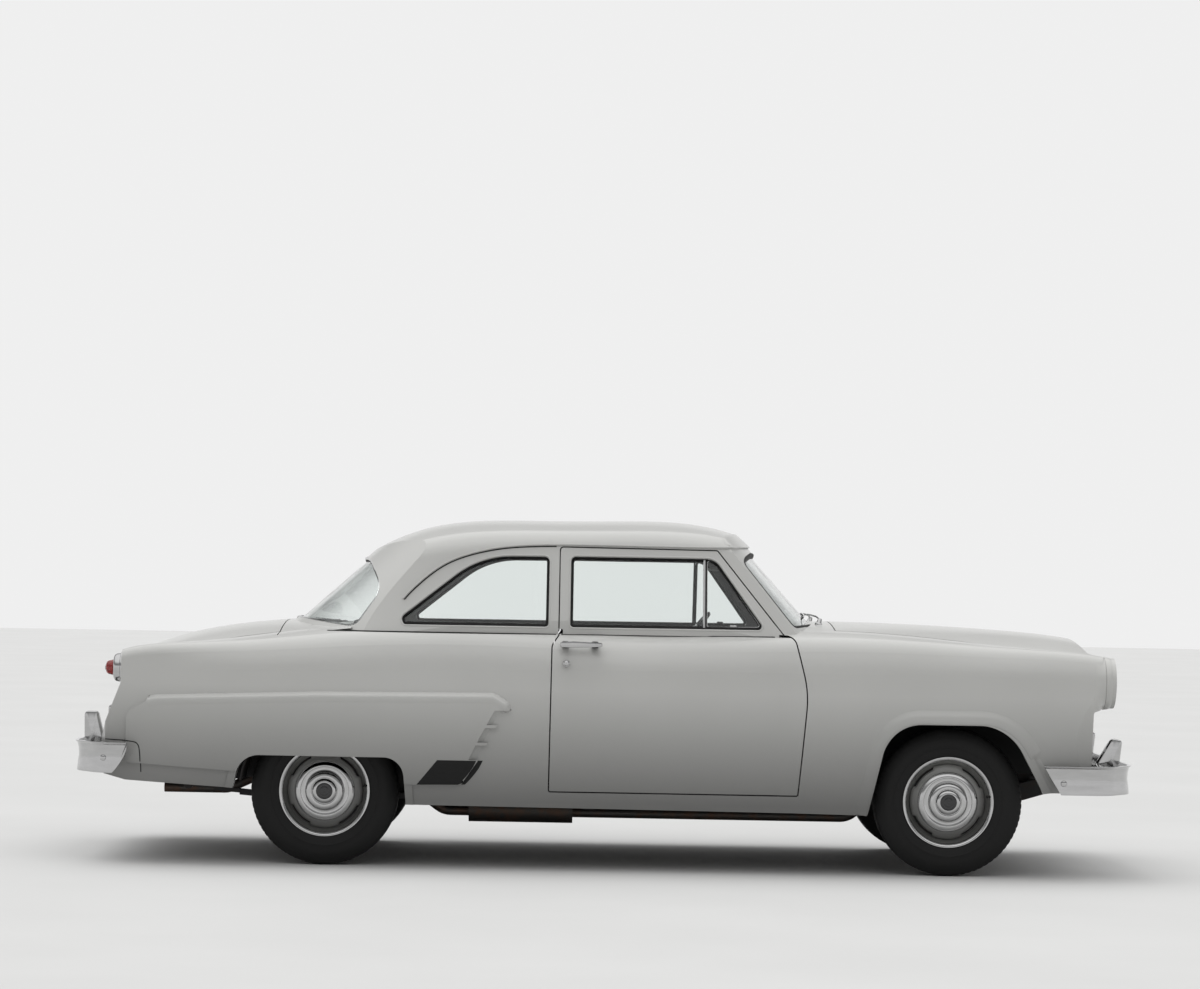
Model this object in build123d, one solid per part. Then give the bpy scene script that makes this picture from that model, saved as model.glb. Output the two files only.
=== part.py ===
from build123d import *
import os

os.makedirs("parts", exist_ok=True)

# A two-door sedan of the early 1950s on a separate frame. Millimetres, +X forward,
# +Y to the car's left, +Z up, origin on the ground under the middle of the car.

# Overall sizes. The tables below are drawn for the drawn wheelbase and half width: what
# lies behind the doors keeps its distance to the rear axle, and the sides move out alike.
WHEELBASE = 2921.0
BODY_HALF = 940.0
DRAWN_WHEELBASE = 2921.0
DRAWN_HALF = 940.0
REAR_SHIFT = DRAWN_WHEELBASE - WHEELBASE
REAR_FROM_X = -380.0
WIDEN = BODY_HALF - DRAWN_HALF

# Wheels and axles
FRONT_AXLE_X = 1617.0
REAR_AXLE_X = FRONT_AXLE_X - WHEELBASE
FRONT_TRACK = 1473.0
REAR_TRACK = 1422.0
TYRE_RADIUS = 347.0
TYRE_WIDTH = 176.0
RIM_RADIUS = 200.0
RIM_WIDTH = 138.0
RIM_LIP = 12.0
RIM_SHEET = 5.0
DRUM_RADIUS = 142.0
DRUM_WIDTH = 62.0
DRUM_SHEET = 8.0
HUB_RADIUS = 38.0
HUB_HALF = 30.0
CAP_RADIUS = 133.0
SPINDLE_RADIUS = 16.0
RUNNING_FIT = 0.05
HUB_Z = TYRE_RADIUS

# Steering
KINGPIN_INSET = 120.0
KINGPIN_RADIUS = 12.0
KINGPIN_REACH = 100.0
ARM_LENGTH = 140.0
ARM_DROP = 58.0
TIE_ROD_RADIUS = 11.0
STEERING_WHEEL_RADIUS = 220.0
STEERING_HUB = (395.0, 380.0, 1035.0)
COLUMN_FOOT = (1060.0, 380.0, 504.0)
COLUMN_RADIUS = 24.0

# Walls and gaps
DOOR_WALL = 62.0
PILLAR_WALL = 46.0
SHEET_WALL = 26.0
GLASS = 6.0
PANEL_GAP = 6.0
REBATE = 16.0
REBATE_DEPTH = 12.0
FLOOR_WALL = 14.0
APRON_WALL = 10.0

# Levels
UNDERSIDE_Z = 250.0
BELT_Z = 1100.0
SILL_TOP_Z = 372.0
FLOOR_Z = 380.0
TRUNK_FLOOR_Z = 545.0
TOE_TOP_Z = 560.0
PAN_TOP_Z = FLOOR_Z + FLOOR_WALL
TRUNK_TOP_Z = TRUNK_FLOOR_Z + FLOOR_WALL

# Places of the panel seams
REAR_SEAM_X = -176.0
FENDER_SEAM_X = 815.0
CABIN_FRONT_X = 860.0
FIREWALL_X = 1020.0
FIREWALL = 20.0
COWL_X = 1087.0
CABIN_REAR_X = REAR_AXLE_X - 96.0
TRUNK_FRONT_X = REAR_AXLE_X - 241.0
NOSE_X = 2200.0
HOOD_LIP_Z = 985.0
TRUNK_LIP_Z = 700.0
IRON_TOP_Z = 482.0
CABIN_HALF = BODY_HALF - 205.0
HOOD_HALF = BODY_HALF - 342.0
TRUNK_HALF = BODY_HALF - 352.0
FLOOR_HALF = BODY_HALF - 140.0
WHEELHOUSE_Y = 560.0
WHEELHOUSE_RADIUS = TYRE_RADIUS + 53.0

# Cutting blocks reach past the car to these places
TAIL_X = REAR_AXLE_X - 1296.0
NOSE_END_X = 2600.0
OUT_Y = BODY_HALF + 60.0
IN_Y = 300.0
GROUND_Z = 200.0
DECK_Z = 1000.0
COWL_WALL_Z = 1080.0
SKY_Z = 1750.0
SEAM_STEP = 2.0

# Lower body. Columns: place along the car, height on the centreline, lid seam (half
# width, height), fender crest (half width, height), shoulder (half width, height),
# waist half width, sill half width.
LOWER_SECTIONS = (
    (-2430, 838, 560, 824, 730, 880, 800, 770, 775, 745),
    (-2240, 985, 575, 958, 772, 1000, 842, 850, 836, 805),
    (-1900, 1094, 590, 1034, 796, 1036, 880, 900, 888, 850),
    (-1450, 1146, 610, 1096, 796, 1070, 905, 915, 914, 878),
    (-200, 1150, 640, 1128, 800, 1097, 910, 935, 925, 885),
    (900, 1172, 640, 1134, 800, 1105, 906, 940, 925, 885),
    (1550, 1165, 615, 1108, 790, 1093, 900, 940, 918, 882),
    (2100, 1134, 590, 1052, 765, 1064, 872, 935, 890, 855),
    (2430, 1080, 545, 980, 730, 1014, 822, 900, 838, 806),
)

# Cab. Columns: place, height on the centreline, drip rail (half width, height), belt
# half width.
ROOF_SECTIONS = (
    (-1600, 1150, 560, 1122, 735),
    (-1180, 1452, 622, 1330, 765),
    (-860, 1600, 650, 1440, 788),
    (-400, 1642, 662, 1500, 800),
    (300, 1647, 664, 1512, 802),
    (620, 1594, 650, 1500, 790),
    (1060, 1290, 620, 1240, 775),
)

# Raked screens: a plan curve at the belt (side point, middle) drawn up along the rake,
# which is the shift along X for each unit of height.
WINDSCREEN = {"side": (905.0, BODY_HALF - 170.0), "middle": 1078.0, "rake": -0.90}
BACKLIGHT = {
    "side": (REAR_AXLE_X + 204.0, BODY_HALF - 170.0), "middle": REAR_AXLE_X - 256.0, "rake": 1.12,
}
GLASS_SET_BACK = 22.0

# Outlines in side view. Columns: x, z, corner radius.
BODY_OUTLINE = (
    (-2262, 1800, 0), (-2262, 838, 30), (-2354, 600, 60), (-2384, 424, 8), (-2234, 386, 60),
    (-1736, 361, 0), (-914, 297, 0), (895, 288, 0), (1204, 284, 0), (2074, 402, 0),
    (2272, 402, 0), (2284, 780, 12), (2366, 806, 30), (2378, 960, 40), (2345, 1036, 40),
    (2308, 1050, 0), (2262, 1130, 0), (2262, 1800, 0),
)
DOOR_OUTLINE = (
    (-216, 1508, 12), (-216, 1094, 4), (-246, 1050, 40), (-251, SILL_TOP_Z, 6),
    (903, SILL_TOP_Z, 6), (945, 850, 500), (882, 1108, 46), (838, 1108, 0), (522, 1503, 12),
)
DOOR_WINDOW = ((-167, 1134, 16), (-167, 1468, 22), (512, 1468, 80), (752, 1136, 18))
QUARTER_WINDOW = (
    (-268, 1134, 16), (-268, 1466, 26), (-595, 1464, 430), (-966, 1168, 26), (-948, 1134, 14),
)
BACKLIGHT_WINDOW = (
    (-1700, 1160, 0), (-1480, 1152, 60), (-1180, 1116, 70), (-1056, 1300, 110),
    (-1136, 1444, 40), (-1700, 1444, 0),
)
WINDSCREEN_WINDOW = (
    (640, 1460, 30), (888, 1152, 30), (1300, 1180, 0), (1300, 1494, 0), (700, 1494, 0),
)

# Wheel arches in side view. Columns: distance ahead of the axle, z, corner radius.
REAR_ARCH = ((-448, 240, 0), (-386, 517, 110), (369, 517, 95), (392, 240, 0))
FRONT_ARCH = ((-395, 240, 0), (-287, 714, 190), (263, 714, 240), (518, 240, 0))
ARCH_LIP = 36.0
ARCH_PROUD = 8.0

# Rear quarter bulge with its slanted flutes
BULGE_NOSE_TOP = (-448, 764)
BULGE_NOSE_FOOT = (-584, 508)
BULGE_OUTLINE = (
    (-2230, 700, 60), (-2120, 768, 200), (-1330, 798, 0), (-520, 806, 24), (*BULGE_NOSE_TOP, 20),
    (*BULGE_NOSE_FOOT, 10), (-660, 396, 16), (-880, 392, 0), (-2230, 470, 0),
)
BULGE_PROUD = 20.0
BULGE_ROOT = 4.0
FLUTE_COUNT = 3
FLUTE_TOP_Z = 744.0
FLUTE_PITCH = 82.0
FLUTE_HEIGHT = 68.0
FLUTE_RADIUS = 54.0
FLUTE_STAND = 42.0

# Lamps and grille
LAMP_Y = BODY_HALF - 218.0
HEADLAMP_Z = 914.0
HEADLAMP_RIM = 118.0
HEADLAMP_LENS = 96.0
HEADLAMP_FACE_X = 2392.0
HEADLAMP_DEPTH = 60.0
LAMP_FIT = 0.5
TAIL_LAMP_Z = 912.0
TAIL_LAMP_Y = BODY_HALF - 178.0
TAIL_LAMP_X = REAR_AXLE_X - 936.0
TAIL_BEZEL = 74.0
TAIL_LENS = 36.0
GRILLE_X = 2330.0
GRILLE_Z = 650.0
GRILLE_HALF = BODY_HALF - 380.0
GRILLE_RISE = 106.0
GRILLE_BOW = 46.0
GRILLE_BAR = (34.0, 48.0)
GRILLE_BOSS = 74.0

# Bumpers: bands from the bottom up. Columns: low, high, how far proud of the face.
FRONT_BANDS = ((398, 424, -22), (420, 516, 0), (438, 498, 8), (512, 534, -16))
REAR_BANDS = ((422, 448, -22), (444, 548, 0), (462, 530, 8), (544, 566, -16))
FRONT_GUARD = (
    (2440, 430, 20), (2360, 520, 20), (2436, 645, 24), (2486, 634, 16), (2474, 510, 30), (2500, 430, 10),
)
REAR_GUARD = (
    (-2440, 450, 20), (-2388, 560, 20), (-2421, 688, 14), (-2484, 688, 20), (-2494, 520, 30), (-2500, 450, 10),
)
FRONT_BUMPER = {"face": 2502.0, "end": 2040.0, "half": BODY_HALF + 8.0}
REAR_BUMPER = {"face": REAR_AXLE_X - 1198.0, "end": REAR_AXLE_X - 911.0, "half": BODY_HALF - 14.0}
BUMPER_SHEET = 14.0
GUARD_Y = 420.0
GUARD_HALF = 34.0
IRON_HALF = 20.0

# Frame, engine, cooling and fuel
RAIL_Y = (440.0, 500.0)
NOSE_RAIL_Y = (330.0, 390.0)
RAIL_UNDER_Z = 300.0
NOSE_RAIL_END_X = 2230.0
TAIL_RAIL_X = REAR_AXLE_X - 936.0
HITCH_X = REAR_AXLE_X - 896.0
HITCH_SPACING = 254.0
HITCH_HOLE = 6.8
ENGINE_X = (1180.0, 1900.0)
ENGINE_HALF = 230.0
ENGINE_Z = (320.0, 960.0)
RADIATOR_X = (2000.0, 2060.0)
RADIATOR_Z = (400.0, 980.0)
TANK_X = (REAR_AXLE_X - 846.0, REAR_AXLE_X - 316.0)
TANK_Y = (-260.0, 400.0)
TANK_DEPTH = 100.0
SHAFT_DROP = 7.0
SHAFT_RADIUS = 32.0
SPRING_Y = 530.0
SPRING_HALF = 27.0
SPRING_EYE_HALF = 30.0
SPRING_EYE_X = 664.0
LEAF_REACHES = (660.0, 540.0, 420.0, 300.0)
LEAF = 9.0

# Exhaust
PIPE_Y = -300.0
PIPE_RADIUS = 24.0
PIPE_BORE = 21.0
PIPE_BEND = 100.0
OUTLET_LENGTH = 90.0
REAR_PIPE_Z = 452.0
OUTLET = (REAR_AXLE_X - 806.0, 322.0)
MANIFOLD = (1250.0, 420.0)

# Seats and dashboard in side view. Columns: x, z, corner radius.
FRONT_BENCH = (
    (-280, PAN_TOP_Z, 10), (160, PAN_TOP_Z, 10), (200, 480, 30), (215, 640, 70), (-190, 612, 30),
    (-275, 1080, 30), (-365, 1080, 30),
)
REAR_BENCH = (
    (-1120, TRUNK_TOP_Z, 20), (-886, TRUNK_TOP_Z, 0), (-836, PAN_TOP_Z, 0), (-690, PAN_TOP_Z, 10),
    (-650, 560, 30), (-625, 745, 70), (-1010, 720, 30), (-1110, 1075, 30), (-1215, 1075, 30),
)
DASHBOARD = (
    (780, 880, 0), (752, 985, 20), (790, 1085, 40), (CABIN_FRONT_X, 1096, 0), (CABIN_FRONT_X, 880, 0),
)
COLUMN_BRACKET_X = (800.0, 816.0)


def placed(x):
    """Place along the car of a drawn x."""
    return x + REAR_SHIFT if x < REAR_FROM_X else x


def drawn(rows):
    """Side view rows moved to their place along the car."""
    return [(placed(x), z, radius) for x, z, radius in rows]


def about_axle(rows, axle_x):
    """Side view rows given by their distance ahead of an axle."""
    return [(axle_x + x, z, radius) for x, z, radius in rows]


def corners(outline):
    """Closed face in X and Y of the sketch from rows of x, z, corner radius."""
    points = [(x, z) for x, z, radius in outline]
    edges, count = [], len(outline)
    ends = []
    for i, (x, z, radius) in enumerate(outline):
        here = Vector(x, z)
        back = (Vector(*points[i - 1]) - here).normalized()
        ahead = (Vector(*points[(i + 1) % count]) - here).normalized()
        if radius == 0:
            ends.append((here, None, here))
            continue
        half = back.get_angle(ahead) / 2
        reach = radius / tan_degrees(half)
        middle = here + (back + ahead).normalized() * (radius / sin_degrees(half) - radius)
        ends.append((here + back * reach, middle, here + ahead * reach))
    for i, (start, middle, finish) in enumerate(ends):
        if middle is not None:
            edges.append(ThreePointArc(start, middle, finish))
        edges.append(Line(finish, ends[(i + 1) % count][0]))
    return make_face(edges)


def sin_degrees(angle):
    return Vector(1, 0).rotate(Axis.Z, angle).Y


def tan_degrees(angle):
    turned = Vector(1, 0).rotate(Axis.Z, angle)
    return turned.Y / turned.X


def side_prism(outline, low, high, grow=0.0):
    """Side view outline pulled across the car, from y low to y high."""
    plane = Plane(origin=(0, high, 0), x_dir=(1, 0, 0), z_dir=(0, -1, 0))
    face = corners(outline)
    if grow:
        face = offset(face, grow)
    return extrude(plane * face, high - low)


def plan_face(rows):
    """Closed plan outline from rows of x, y, corner radius, mirrored to the right side."""
    return corners(list(rows) + [(x, -y, radius) for x, y, radius in reversed(rows)])


def block(x0, x1, y0, y1, z0, z1):
    """Box between two corners."""
    middle = Pos((x0 + x1) / 2, (y0 + y1) / 2, (z0 + z1) / 2)
    return middle * Box(abs(x1 - x0), abs(y1 - y0), abs(z1 - z0))


def bar(start, end, radius):
    """Round bar between two points."""
    a, b = Vector(*start), Vector(*end)
    return extrude(Plane(origin=a, z_dir=b - a) * Circle(radius), (b - a).length)


def flipped(piece):
    """The mirror image on the other side of the car."""
    return mirror(piece, about=Plane.XZ)


def joined(parts):
    """One piece from several that overlap or touch."""
    first, *rest = parts
    for part in rest:
        first = first + part
    return first


def smooth_turn(start, start_way, finish, finish_way):
    """Two arcs that leave start along one way, meet smoothly and reach finish along another."""
    a, b = Vector(*start), Vector(*finish)
    way_a, way_b = Vector(*start_way).normalized(), Vector(*finish_way).normalized()
    span, both = b - a, way_a + way_b
    square, linear = both.dot(both) - 4, -2 * span.dot(both)
    reach = (-linear - (linear ** 2 - 4 * square * span.dot(span)) ** 0.5) / (2 * square)
    lead, trail = a + way_a * reach, b - way_b * reach
    middle = (lead + trail) / 2
    return [TangentArc(a, middle, tangent=way_a), TangentArc(middle, b, tangent=trail - lead)]


def lower_section(row, inset, floor):
    """Cross-section of the lower body: crowned lid, fender tops, shoulders, bowed sides."""
    x, top, seam_y, seam_z, crest_y, crest_z, shoulder_y, shoulder_z, waist_y, sill_y = row
    waist_bow, out = 8.0, WIDEN - inset
    seam_y, seam_z, top = seam_y + WIDEN - inset * 0.3, seam_z - inset, top - inset
    crest_y, crest_z = crest_y + WIDEN - inset * 0.5, crest_z - inset
    shoulder_y, waist_y, sill_y = shoulder_y + out, waist_y + waist_bow + out, sill_y + out
    shoulder_z = shoulder_z - inset * 0.4
    mid_y, mid_z = (seam_y + crest_y) / 2, (seam_z + crest_z) / 2 + 5
    waist_z = (shoulder_z + floor) / 2
    side = ThreePointArc((sill_y, floor), (waist_y, waist_z), (shoulder_y, shoulder_z))
    gutter = ThreePointArc((crest_y, crest_z), (mid_y, mid_z), (seam_y, seam_z))
    turn = smooth_turn((shoulder_y, shoulder_z), side % 1, (crest_y, crest_z), gutter % 0)
    left = [side] + turn + [gutter]
    right = [mirror(edge, about=Plane.YZ) for edge in left]
    crown = ThreePointArc((seam_y, seam_z), (0, top), (-seam_y, seam_z))
    base = Line((-sill_y, floor), (sill_y, floor))
    plane = Plane(origin=(placed(x), 0, 0), x_dir=(0, 1, 0), z_dir=(1, 0, 0))
    return plane * make_face(left + [crown] + right + [base])


def lower_solid(inset=0.0, floor=UNDERSIDE_Z):
    return loft([lower_section(row, inset, floor) for row in LOWER_SECTIONS])


def body_ends(inset=0.0):
    """Side outline of the lower body, crossed with its round-cornered plan."""
    drop = 120.0 if inset > 0 else 0.0
    low, lower_edge_z, tall = 100.0, 500.0, 1700.0
    side = [
        (x - inset if x > 0 else x + inset, z - drop if z < lower_edge_z else z, radius)
        for x, z, radius in drawn(BODY_OUTLINE)
    ]
    first, last = min(x for x, z, radius in side), max(x for x, z, radius in side)
    half, turn, cheek = BODY_HALF + 22 - inset, 60.0, 110.0
    rows = (
        (first, half - 322, 0), (first + turn, half - cheek, 60), (first + 420, half, 300),
        (last - 420, half, 300), (last - turn, half - cheek, 90), (last, half - 362, 0),
    )
    plan = extrude(Plane.XY.offset(low) * plan_face(rows), tall)
    return side_prism(side, -OUT_Y, OUT_Y) & plan


def roof_section(row, inset):
    """Cross-section of the cab: crowned roof, drip rail corner, leaning side."""
    x, top, rail_y, rail_z, belt_y = row
    top, rail_z = top - inset, rail_z - inset * 0.5
    rail_y, belt_y = rail_y + WIDEN - inset, belt_y + WIDEN - inset
    edge_y, edge_z = rail_y * 0.84, rail_z + (top - rail_z) * 0.62
    foot_z = BELT_Z - 40
    crown = ThreePointArc((edge_y, edge_z), (0, top), (-edge_y, edge_z))
    left = [
        Line((belt_y, foot_z), (rail_y, rail_z)),
        TangentArc((edge_y, edge_z), (rail_y, rail_z), tangent=-(crown % 0)),
    ]
    right = [mirror(edge, about=Plane.YZ) for edge in left]
    base = Line((-belt_y, foot_z), (belt_y, foot_z))
    plane = Plane(origin=(placed(x), 0, 0), x_dir=(0, 1, 0), z_dir=(1, 0, 0))
    return plane * make_face(left + [crown] + right + [base])


def raked_block(screen, shift, far_x):
    """Everything on the far_x side of a raked, bowed screen, moved along X by shift."""
    side_x, side_y = screen["side"]
    ends = (side_x + shift, side_y), (side_x + shift, -side_y)
    curve = ThreePointArc(ends[0], (screen["middle"] + shift, 0), ends[1])
    rest = Polyline(ends[1], (far_x, -side_y), (far_x, side_y), ends[0])
    drop, rise = 100.0, 800.0
    face = Pos(-screen["rake"] * drop, 0, BELT_Z - drop) * make_face([curve, rest])
    along = Vector(screen["rake"], 0, 1)
    return extrude(face, rise * along.length, dir=along)


def cab_solid(inset=0.0):
    """The cab above the belt, between its two screens."""
    cab = loft([roof_section(row, inset) for row in ROOF_SECTIONS])
    cab = cab & raked_block(WINDSCREEN, -inset * 1.3, TAIL_X - 100)
    return cab & raked_block(BACKLIGHT, inset * 1.5, NOSE_END_X + 100)


body_outer = lower_solid() & body_ends()
thick_shell = body_outer - (lower_solid(DOOR_WALL, 100) & body_ends(DOOR_WALL))
thin_shell = body_outer - (lower_solid(SHEET_WALL, 100) & body_ends(SHEET_WALL))
root_solid = lower_solid(BULGE_ROOT)
lip_skin = (lower_solid(-ARCH_PROUD) - root_solid) & body_ends(-ARCH_PROUD)
bulge_skin = (lower_solid(-BULGE_PROUD) - root_solid) & body_ends(-BULGE_PROUD)
decks = body_outer & joined([
    block(TAIL_X, CABIN_REAR_X, -OUT_Y, OUT_Y, DECK_Z, SKY_Z),
    block(FENDER_SEAM_X, NOSE_END_X, -OUT_Y, OUT_Y, DECK_Z, SKY_Z),
])
above_belt = block(TAIL_X, NOSE_END_X, -OUT_Y, OUT_Y, BELT_Z + SEAM_STEP, SKY_Z)
cab_outer = (cab_solid() & above_belt) - decks
cab_shell = cab_outer - cab_solid(PILLAR_WALL)
side_sheet = cab_solid(PILLAR_WALL / 2) - cab_solid(PILLAR_WALL / 2 + GLASS)
door_space = side_prism(DOOR_OUTLINE, IN_Y, OUT_Y, grow=PANEL_GAP)
door_space = door_space + flipped(door_space)
rear_arch = about_axle(REAR_ARCH, REAR_AXLE_X)
front_arch = about_axle(FRONT_ARCH, FRONT_AXLE_X)


def arch_lip(outline):
    """Raised lip that follows a wheel arch's edge."""
    ring = side_prism(outline, IN_Y, OUT_Y, grow=ARCH_LIP) - side_prism(outline, IN_Y - 10, OUT_Y + 10)
    return lip_skin & ring & block(TAIL_X, NOSE_END_X, CABIN_HALF, OUT_Y, GROUND_Z, BELT_Z)


def bulge():
    """Raised lower part of the rear quarter, with dished flutes in its slanted front edge."""
    raised = bulge_skin & side_prism(drawn(BULGE_OUTLINE), CABIN_HALF, OUT_Y)
    (top_x, top_z), (foot_x, foot_z) = BULGE_NOSE_TOP, BULGE_NOSE_FOOT
    y, slant = BODY_HALF + FLUTE_STAND, (top_x - foot_x) / (top_z - foot_z)
    groove = bar((placed(top_x), y, top_z), (placed(foot_x) - slant * foot_z, y, 0), FLUTE_RADIUS)
    for i in range(FLUTE_COUNT):
        high = FLUTE_TOP_Z - i * FLUTE_PITCH
        band = block(placed(foot_x) - 2 * FLUTE_RADIUS, 0, 0, y + FLUTE_RADIUS, high - FLUTE_HEIGHT, high)
        raised = raised - (groove & band)
    return raised


def sill():
    """Box under the door, with the flange that the floor is welded to."""
    top, flange, low = SILL_TOP_Z - PANEL_GAP, 22.0, 330.0
    wall = thick_shell & block(REAR_SEAM_X - 1, FENDER_SEAM_X, CABIN_HALF, OUT_Y, GROUND_Z, top)
    shelf = block(REAR_SEAM_X, FENDER_SEAM_X, FLOOR_HALF, FLOOR_HALF + 80, low, top)
    edge = block(REAR_SEAM_X, FENDER_SEAM_X, FLOOR_HALF, FLOOR_HALF + flange, low, PAN_TOP_Z)
    return joined([wall, shelf, edge])


def quarter_panel():
    """Rear side of the body with its sill, bulge and arch lip, in one piece."""
    zone = block(TAIL_X, REAR_SEAM_X, TRUNK_HALF + PANEL_GAP, OUT_Y, GROUND_Z, BELT_Z)
    panel = (thick_shell & zone) + sill() + bulge() + arch_lip(rear_arch)
    panel = panel - door_space - side_prism(rear_arch, WHEELHOUSE_Y, OUT_Y + 10)
    return panel - block(TRUNK_FRONT_X, 0, 0, CABIN_HALF, DECK_Z - 100, SKY_Z)


def front_fender():
    """Front wing from the door to the headlamp, with the arch lip and lamp rim."""
    inner = HOOD_HALF + PANEL_GAP
    fender = thin_shell & block(FENDER_SEAM_X, NOSE_END_X, inner, OUT_Y, GROUND_Z, SKY_Z)
    back = Plane(origin=(HEADLAMP_FACE_X - HEADLAMP_DEPTH, LAMP_Y, HEADLAMP_Z), z_dir=(1, 0, 0))
    tube = extrude(Circle(HEADLAMP_RIM), HEADLAMP_DEPTH) - extrude(Circle(HEADLAMP_LENS), HEADLAMP_DEPTH)
    seat = back * extrude(Circle(HEADLAMP_RIM - 10), HEADLAMP_DEPTH)
    fender = (fender - seat) + back * tube + arch_lip(front_arch)
    fender = fender - door_space - side_prism(front_arch, WHEELHOUSE_Y, OUT_Y + 10)
    return fender - block(0, COWL_X, 0, CABIN_HALF, DECK_Z - 100, SKY_Z)


def headlamp():
    """Lens bowl inside the painted rim."""
    plane = Plane(origin=(HEADLAMP_FACE_X - HEADLAMP_DEPTH, LAMP_Y, HEADLAMP_Z), z_dir=(1, 0, 0))
    reach, bowl, tip = HEADLAMP_LENS - LAMP_FIT, 26.0, 44.0
    ball = reach * 2.2
    lens = Pos(0, 0, tip - ball) * Sphere(ball) & extrude(Circle(reach), HEADLAMP_DEPTH)
    return plane * (extrude(Circle(reach), bowl) + lens)


def tail_lamp():
    """Chrome bezel with a tubular lens."""
    plane = Plane(origin=(TAIL_LAMP_X, TAIL_LAMP_Y, TAIL_LAMP_Z), z_dir=(-1, 0, 0))
    depth, tube, cone = 62.0, 30.0, 14.0
    bezel = loft([Circle(TAIL_BEZEL), Pos(0, 0, depth) * Circle(TAIL_BEZEL - 12)])
    lens = Pos(0, 0, depth) * extrude(Circle(TAIL_LENS), tube)
    tip = Pos(0, 0, depth + tube) * loft([Circle(TAIL_LENS), Pos(0, 0, cone) * Circle(TAIL_LENS - cone)])
    return (plane * (bezel + lens + tip) - body_outer).solids().sort_by(Axis.X)[0]


def door():
    """Whole door: lower box, window frame, handle, and the opening for its panes."""
    prism = side_prism(DOOR_OUTLINE, IN_Y, OUT_Y)
    rebate = prism - side_prism(DOOR_OUTLINE, IN_Y - 10, OUT_Y + 10, grow=-REBATE)
    below = block(TAIL_X, NOSE_END_X, CABIN_HALF, OUT_Y, GROUND_Z, BELT_Z + SEAM_STEP)
    lower = (thick_shell & prism & below) - (rebate & lower_solid(REBATE_DEPTH))
    frame = (cab_shell & prism) - side_prism(DOOR_WINDOW, IN_Y, OUT_Y)
    return lower + (frame - (rebate & cab_solid(REBATE_DEPTH))) + door_handle()


def door_handle():
    """Pull handle on two posts, with its lock button below."""
    stand, rear_x, front_x, low, thick = BODY_HALF - 32, -207.0, -18.0, 1046.0, 18.0
    grip = block(rear_x, front_x, stand, stand + thick, low, low + thick)
    posts = [block(x, x + 26, stand - 60, stand + 6, low + 2, low + thick - 2) for x in (-200, -62)]
    button = bar((-181, stand - 60, 967), (-181, stand + 8, 967), 12)
    return joined([grip, button] + posts) - lower_solid(DOOR_WALL / 2)


def door_glass():
    return side_sheet & side_prism(DOOR_WINDOW, IN_Y, OUT_Y)


def quarter_glass():
    return side_sheet & side_prism(drawn(QUARTER_WINDOW), IN_Y, OUT_Y)


def screen_glass(screen, window, inward):
    """Pane set back from a raked screen's face, inward being the way into the cab."""
    reach = inward * (NOSE_END_X + 100)
    sheet = raked_block(screen, inward * GLASS_SET_BACK, reach)
    sheet = sheet - raked_block(screen, inward * (GLASS_SET_BACK + GLASS * 1.4), reach + inward * 50)
    return (sheet & cab_outer) & side_prism(window, -OUT_Y, OUT_Y)


def roof():
    """Roof panel with its windscreen, centre and rear pillars."""
    shell = cab_shell - side_prism(WINDSCREEN_WINDOW, -OUT_Y, OUT_Y)
    shell = shell - side_prism(drawn(BACKLIGHT_WINDOW), -OUT_Y, OUT_Y)
    return shell - door_space - side_prism(drawn(QUARTER_WINDOW), -OUT_Y, OUT_Y)


def centre_zone(x0, x1, half, z0, z1=SKY_Z):
    return block(x0, x1, -half, half, z0, z1)


def rear_deck():
    """Shelf of body between the rear window and the trunk lid."""
    return thick_shell & centre_zone(TRUNK_FRONT_X + PANEL_GAP, CABIN_REAR_X, CABIN_HALF, DECK_Z)


def trunk_lid():
    return thin_shell & centre_zone(TAIL_X, TRUNK_FRONT_X, TRUNK_HALF, TRUNK_LIP_Z + PANEL_GAP)


def tail_panel():
    half = TRUNK_HALF + PANEL_GAP
    return thin_shell & centre_zone(TAIL_X, TAIL_RAIL_X, half, IRON_TOP_Z, TRUNK_LIP_Z)


def hood():
    return thin_shell & centre_zone(COWL_X + PANEL_GAP, NOSE_END_X, HOOD_HALF, HOOD_LIP_Z)


def nose_panel():
    """Front panel between the wings, with the grille opening."""
    half, corner = HOOD_HALF + PANEL_GAP, 60.0
    panel = thin_shell & centre_zone(NOSE_X, NOSE_END_X, half, IRON_TOP_Z, HOOD_LIP_Z - PANEL_GAP)
    mouth = Plane(origin=(NOSE_X - 50, 0, GRILLE_Z), x_dir=(0, 1, 0), z_dir=(1, 0, 0))
    opening = RectangleRounded(2 * GRILLE_HALF, 2 * GRILLE_RISE, corner)
    return panel - extrude(mouth * opening, NOSE_END_X - NOSE_X)


def cowl():
    """Top panel ahead of the windscreen, with the firewall and the engine bay's aprons."""
    top = thick_shell & centre_zone(CABIN_FRONT_X, COWL_X, CABIN_HALF, DECK_Z)
    front, low, high = FIREWALL_X + FIREWALL, 470.0, 930.0
    wall = centre_zone(FIREWALL_X, front, CABIN_HALF, TOE_TOP_Z, COWL_WALL_Z) & body_outer
    inner = NOSE_RAIL_Y[1] + 30
    aprons = [block(front, NOSE_X - 10, s * inner, s * (inner + APRON_WALL), low, high) for s in (-1, 1)]
    return joined([top - door_space, wall] + aprons)


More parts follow.
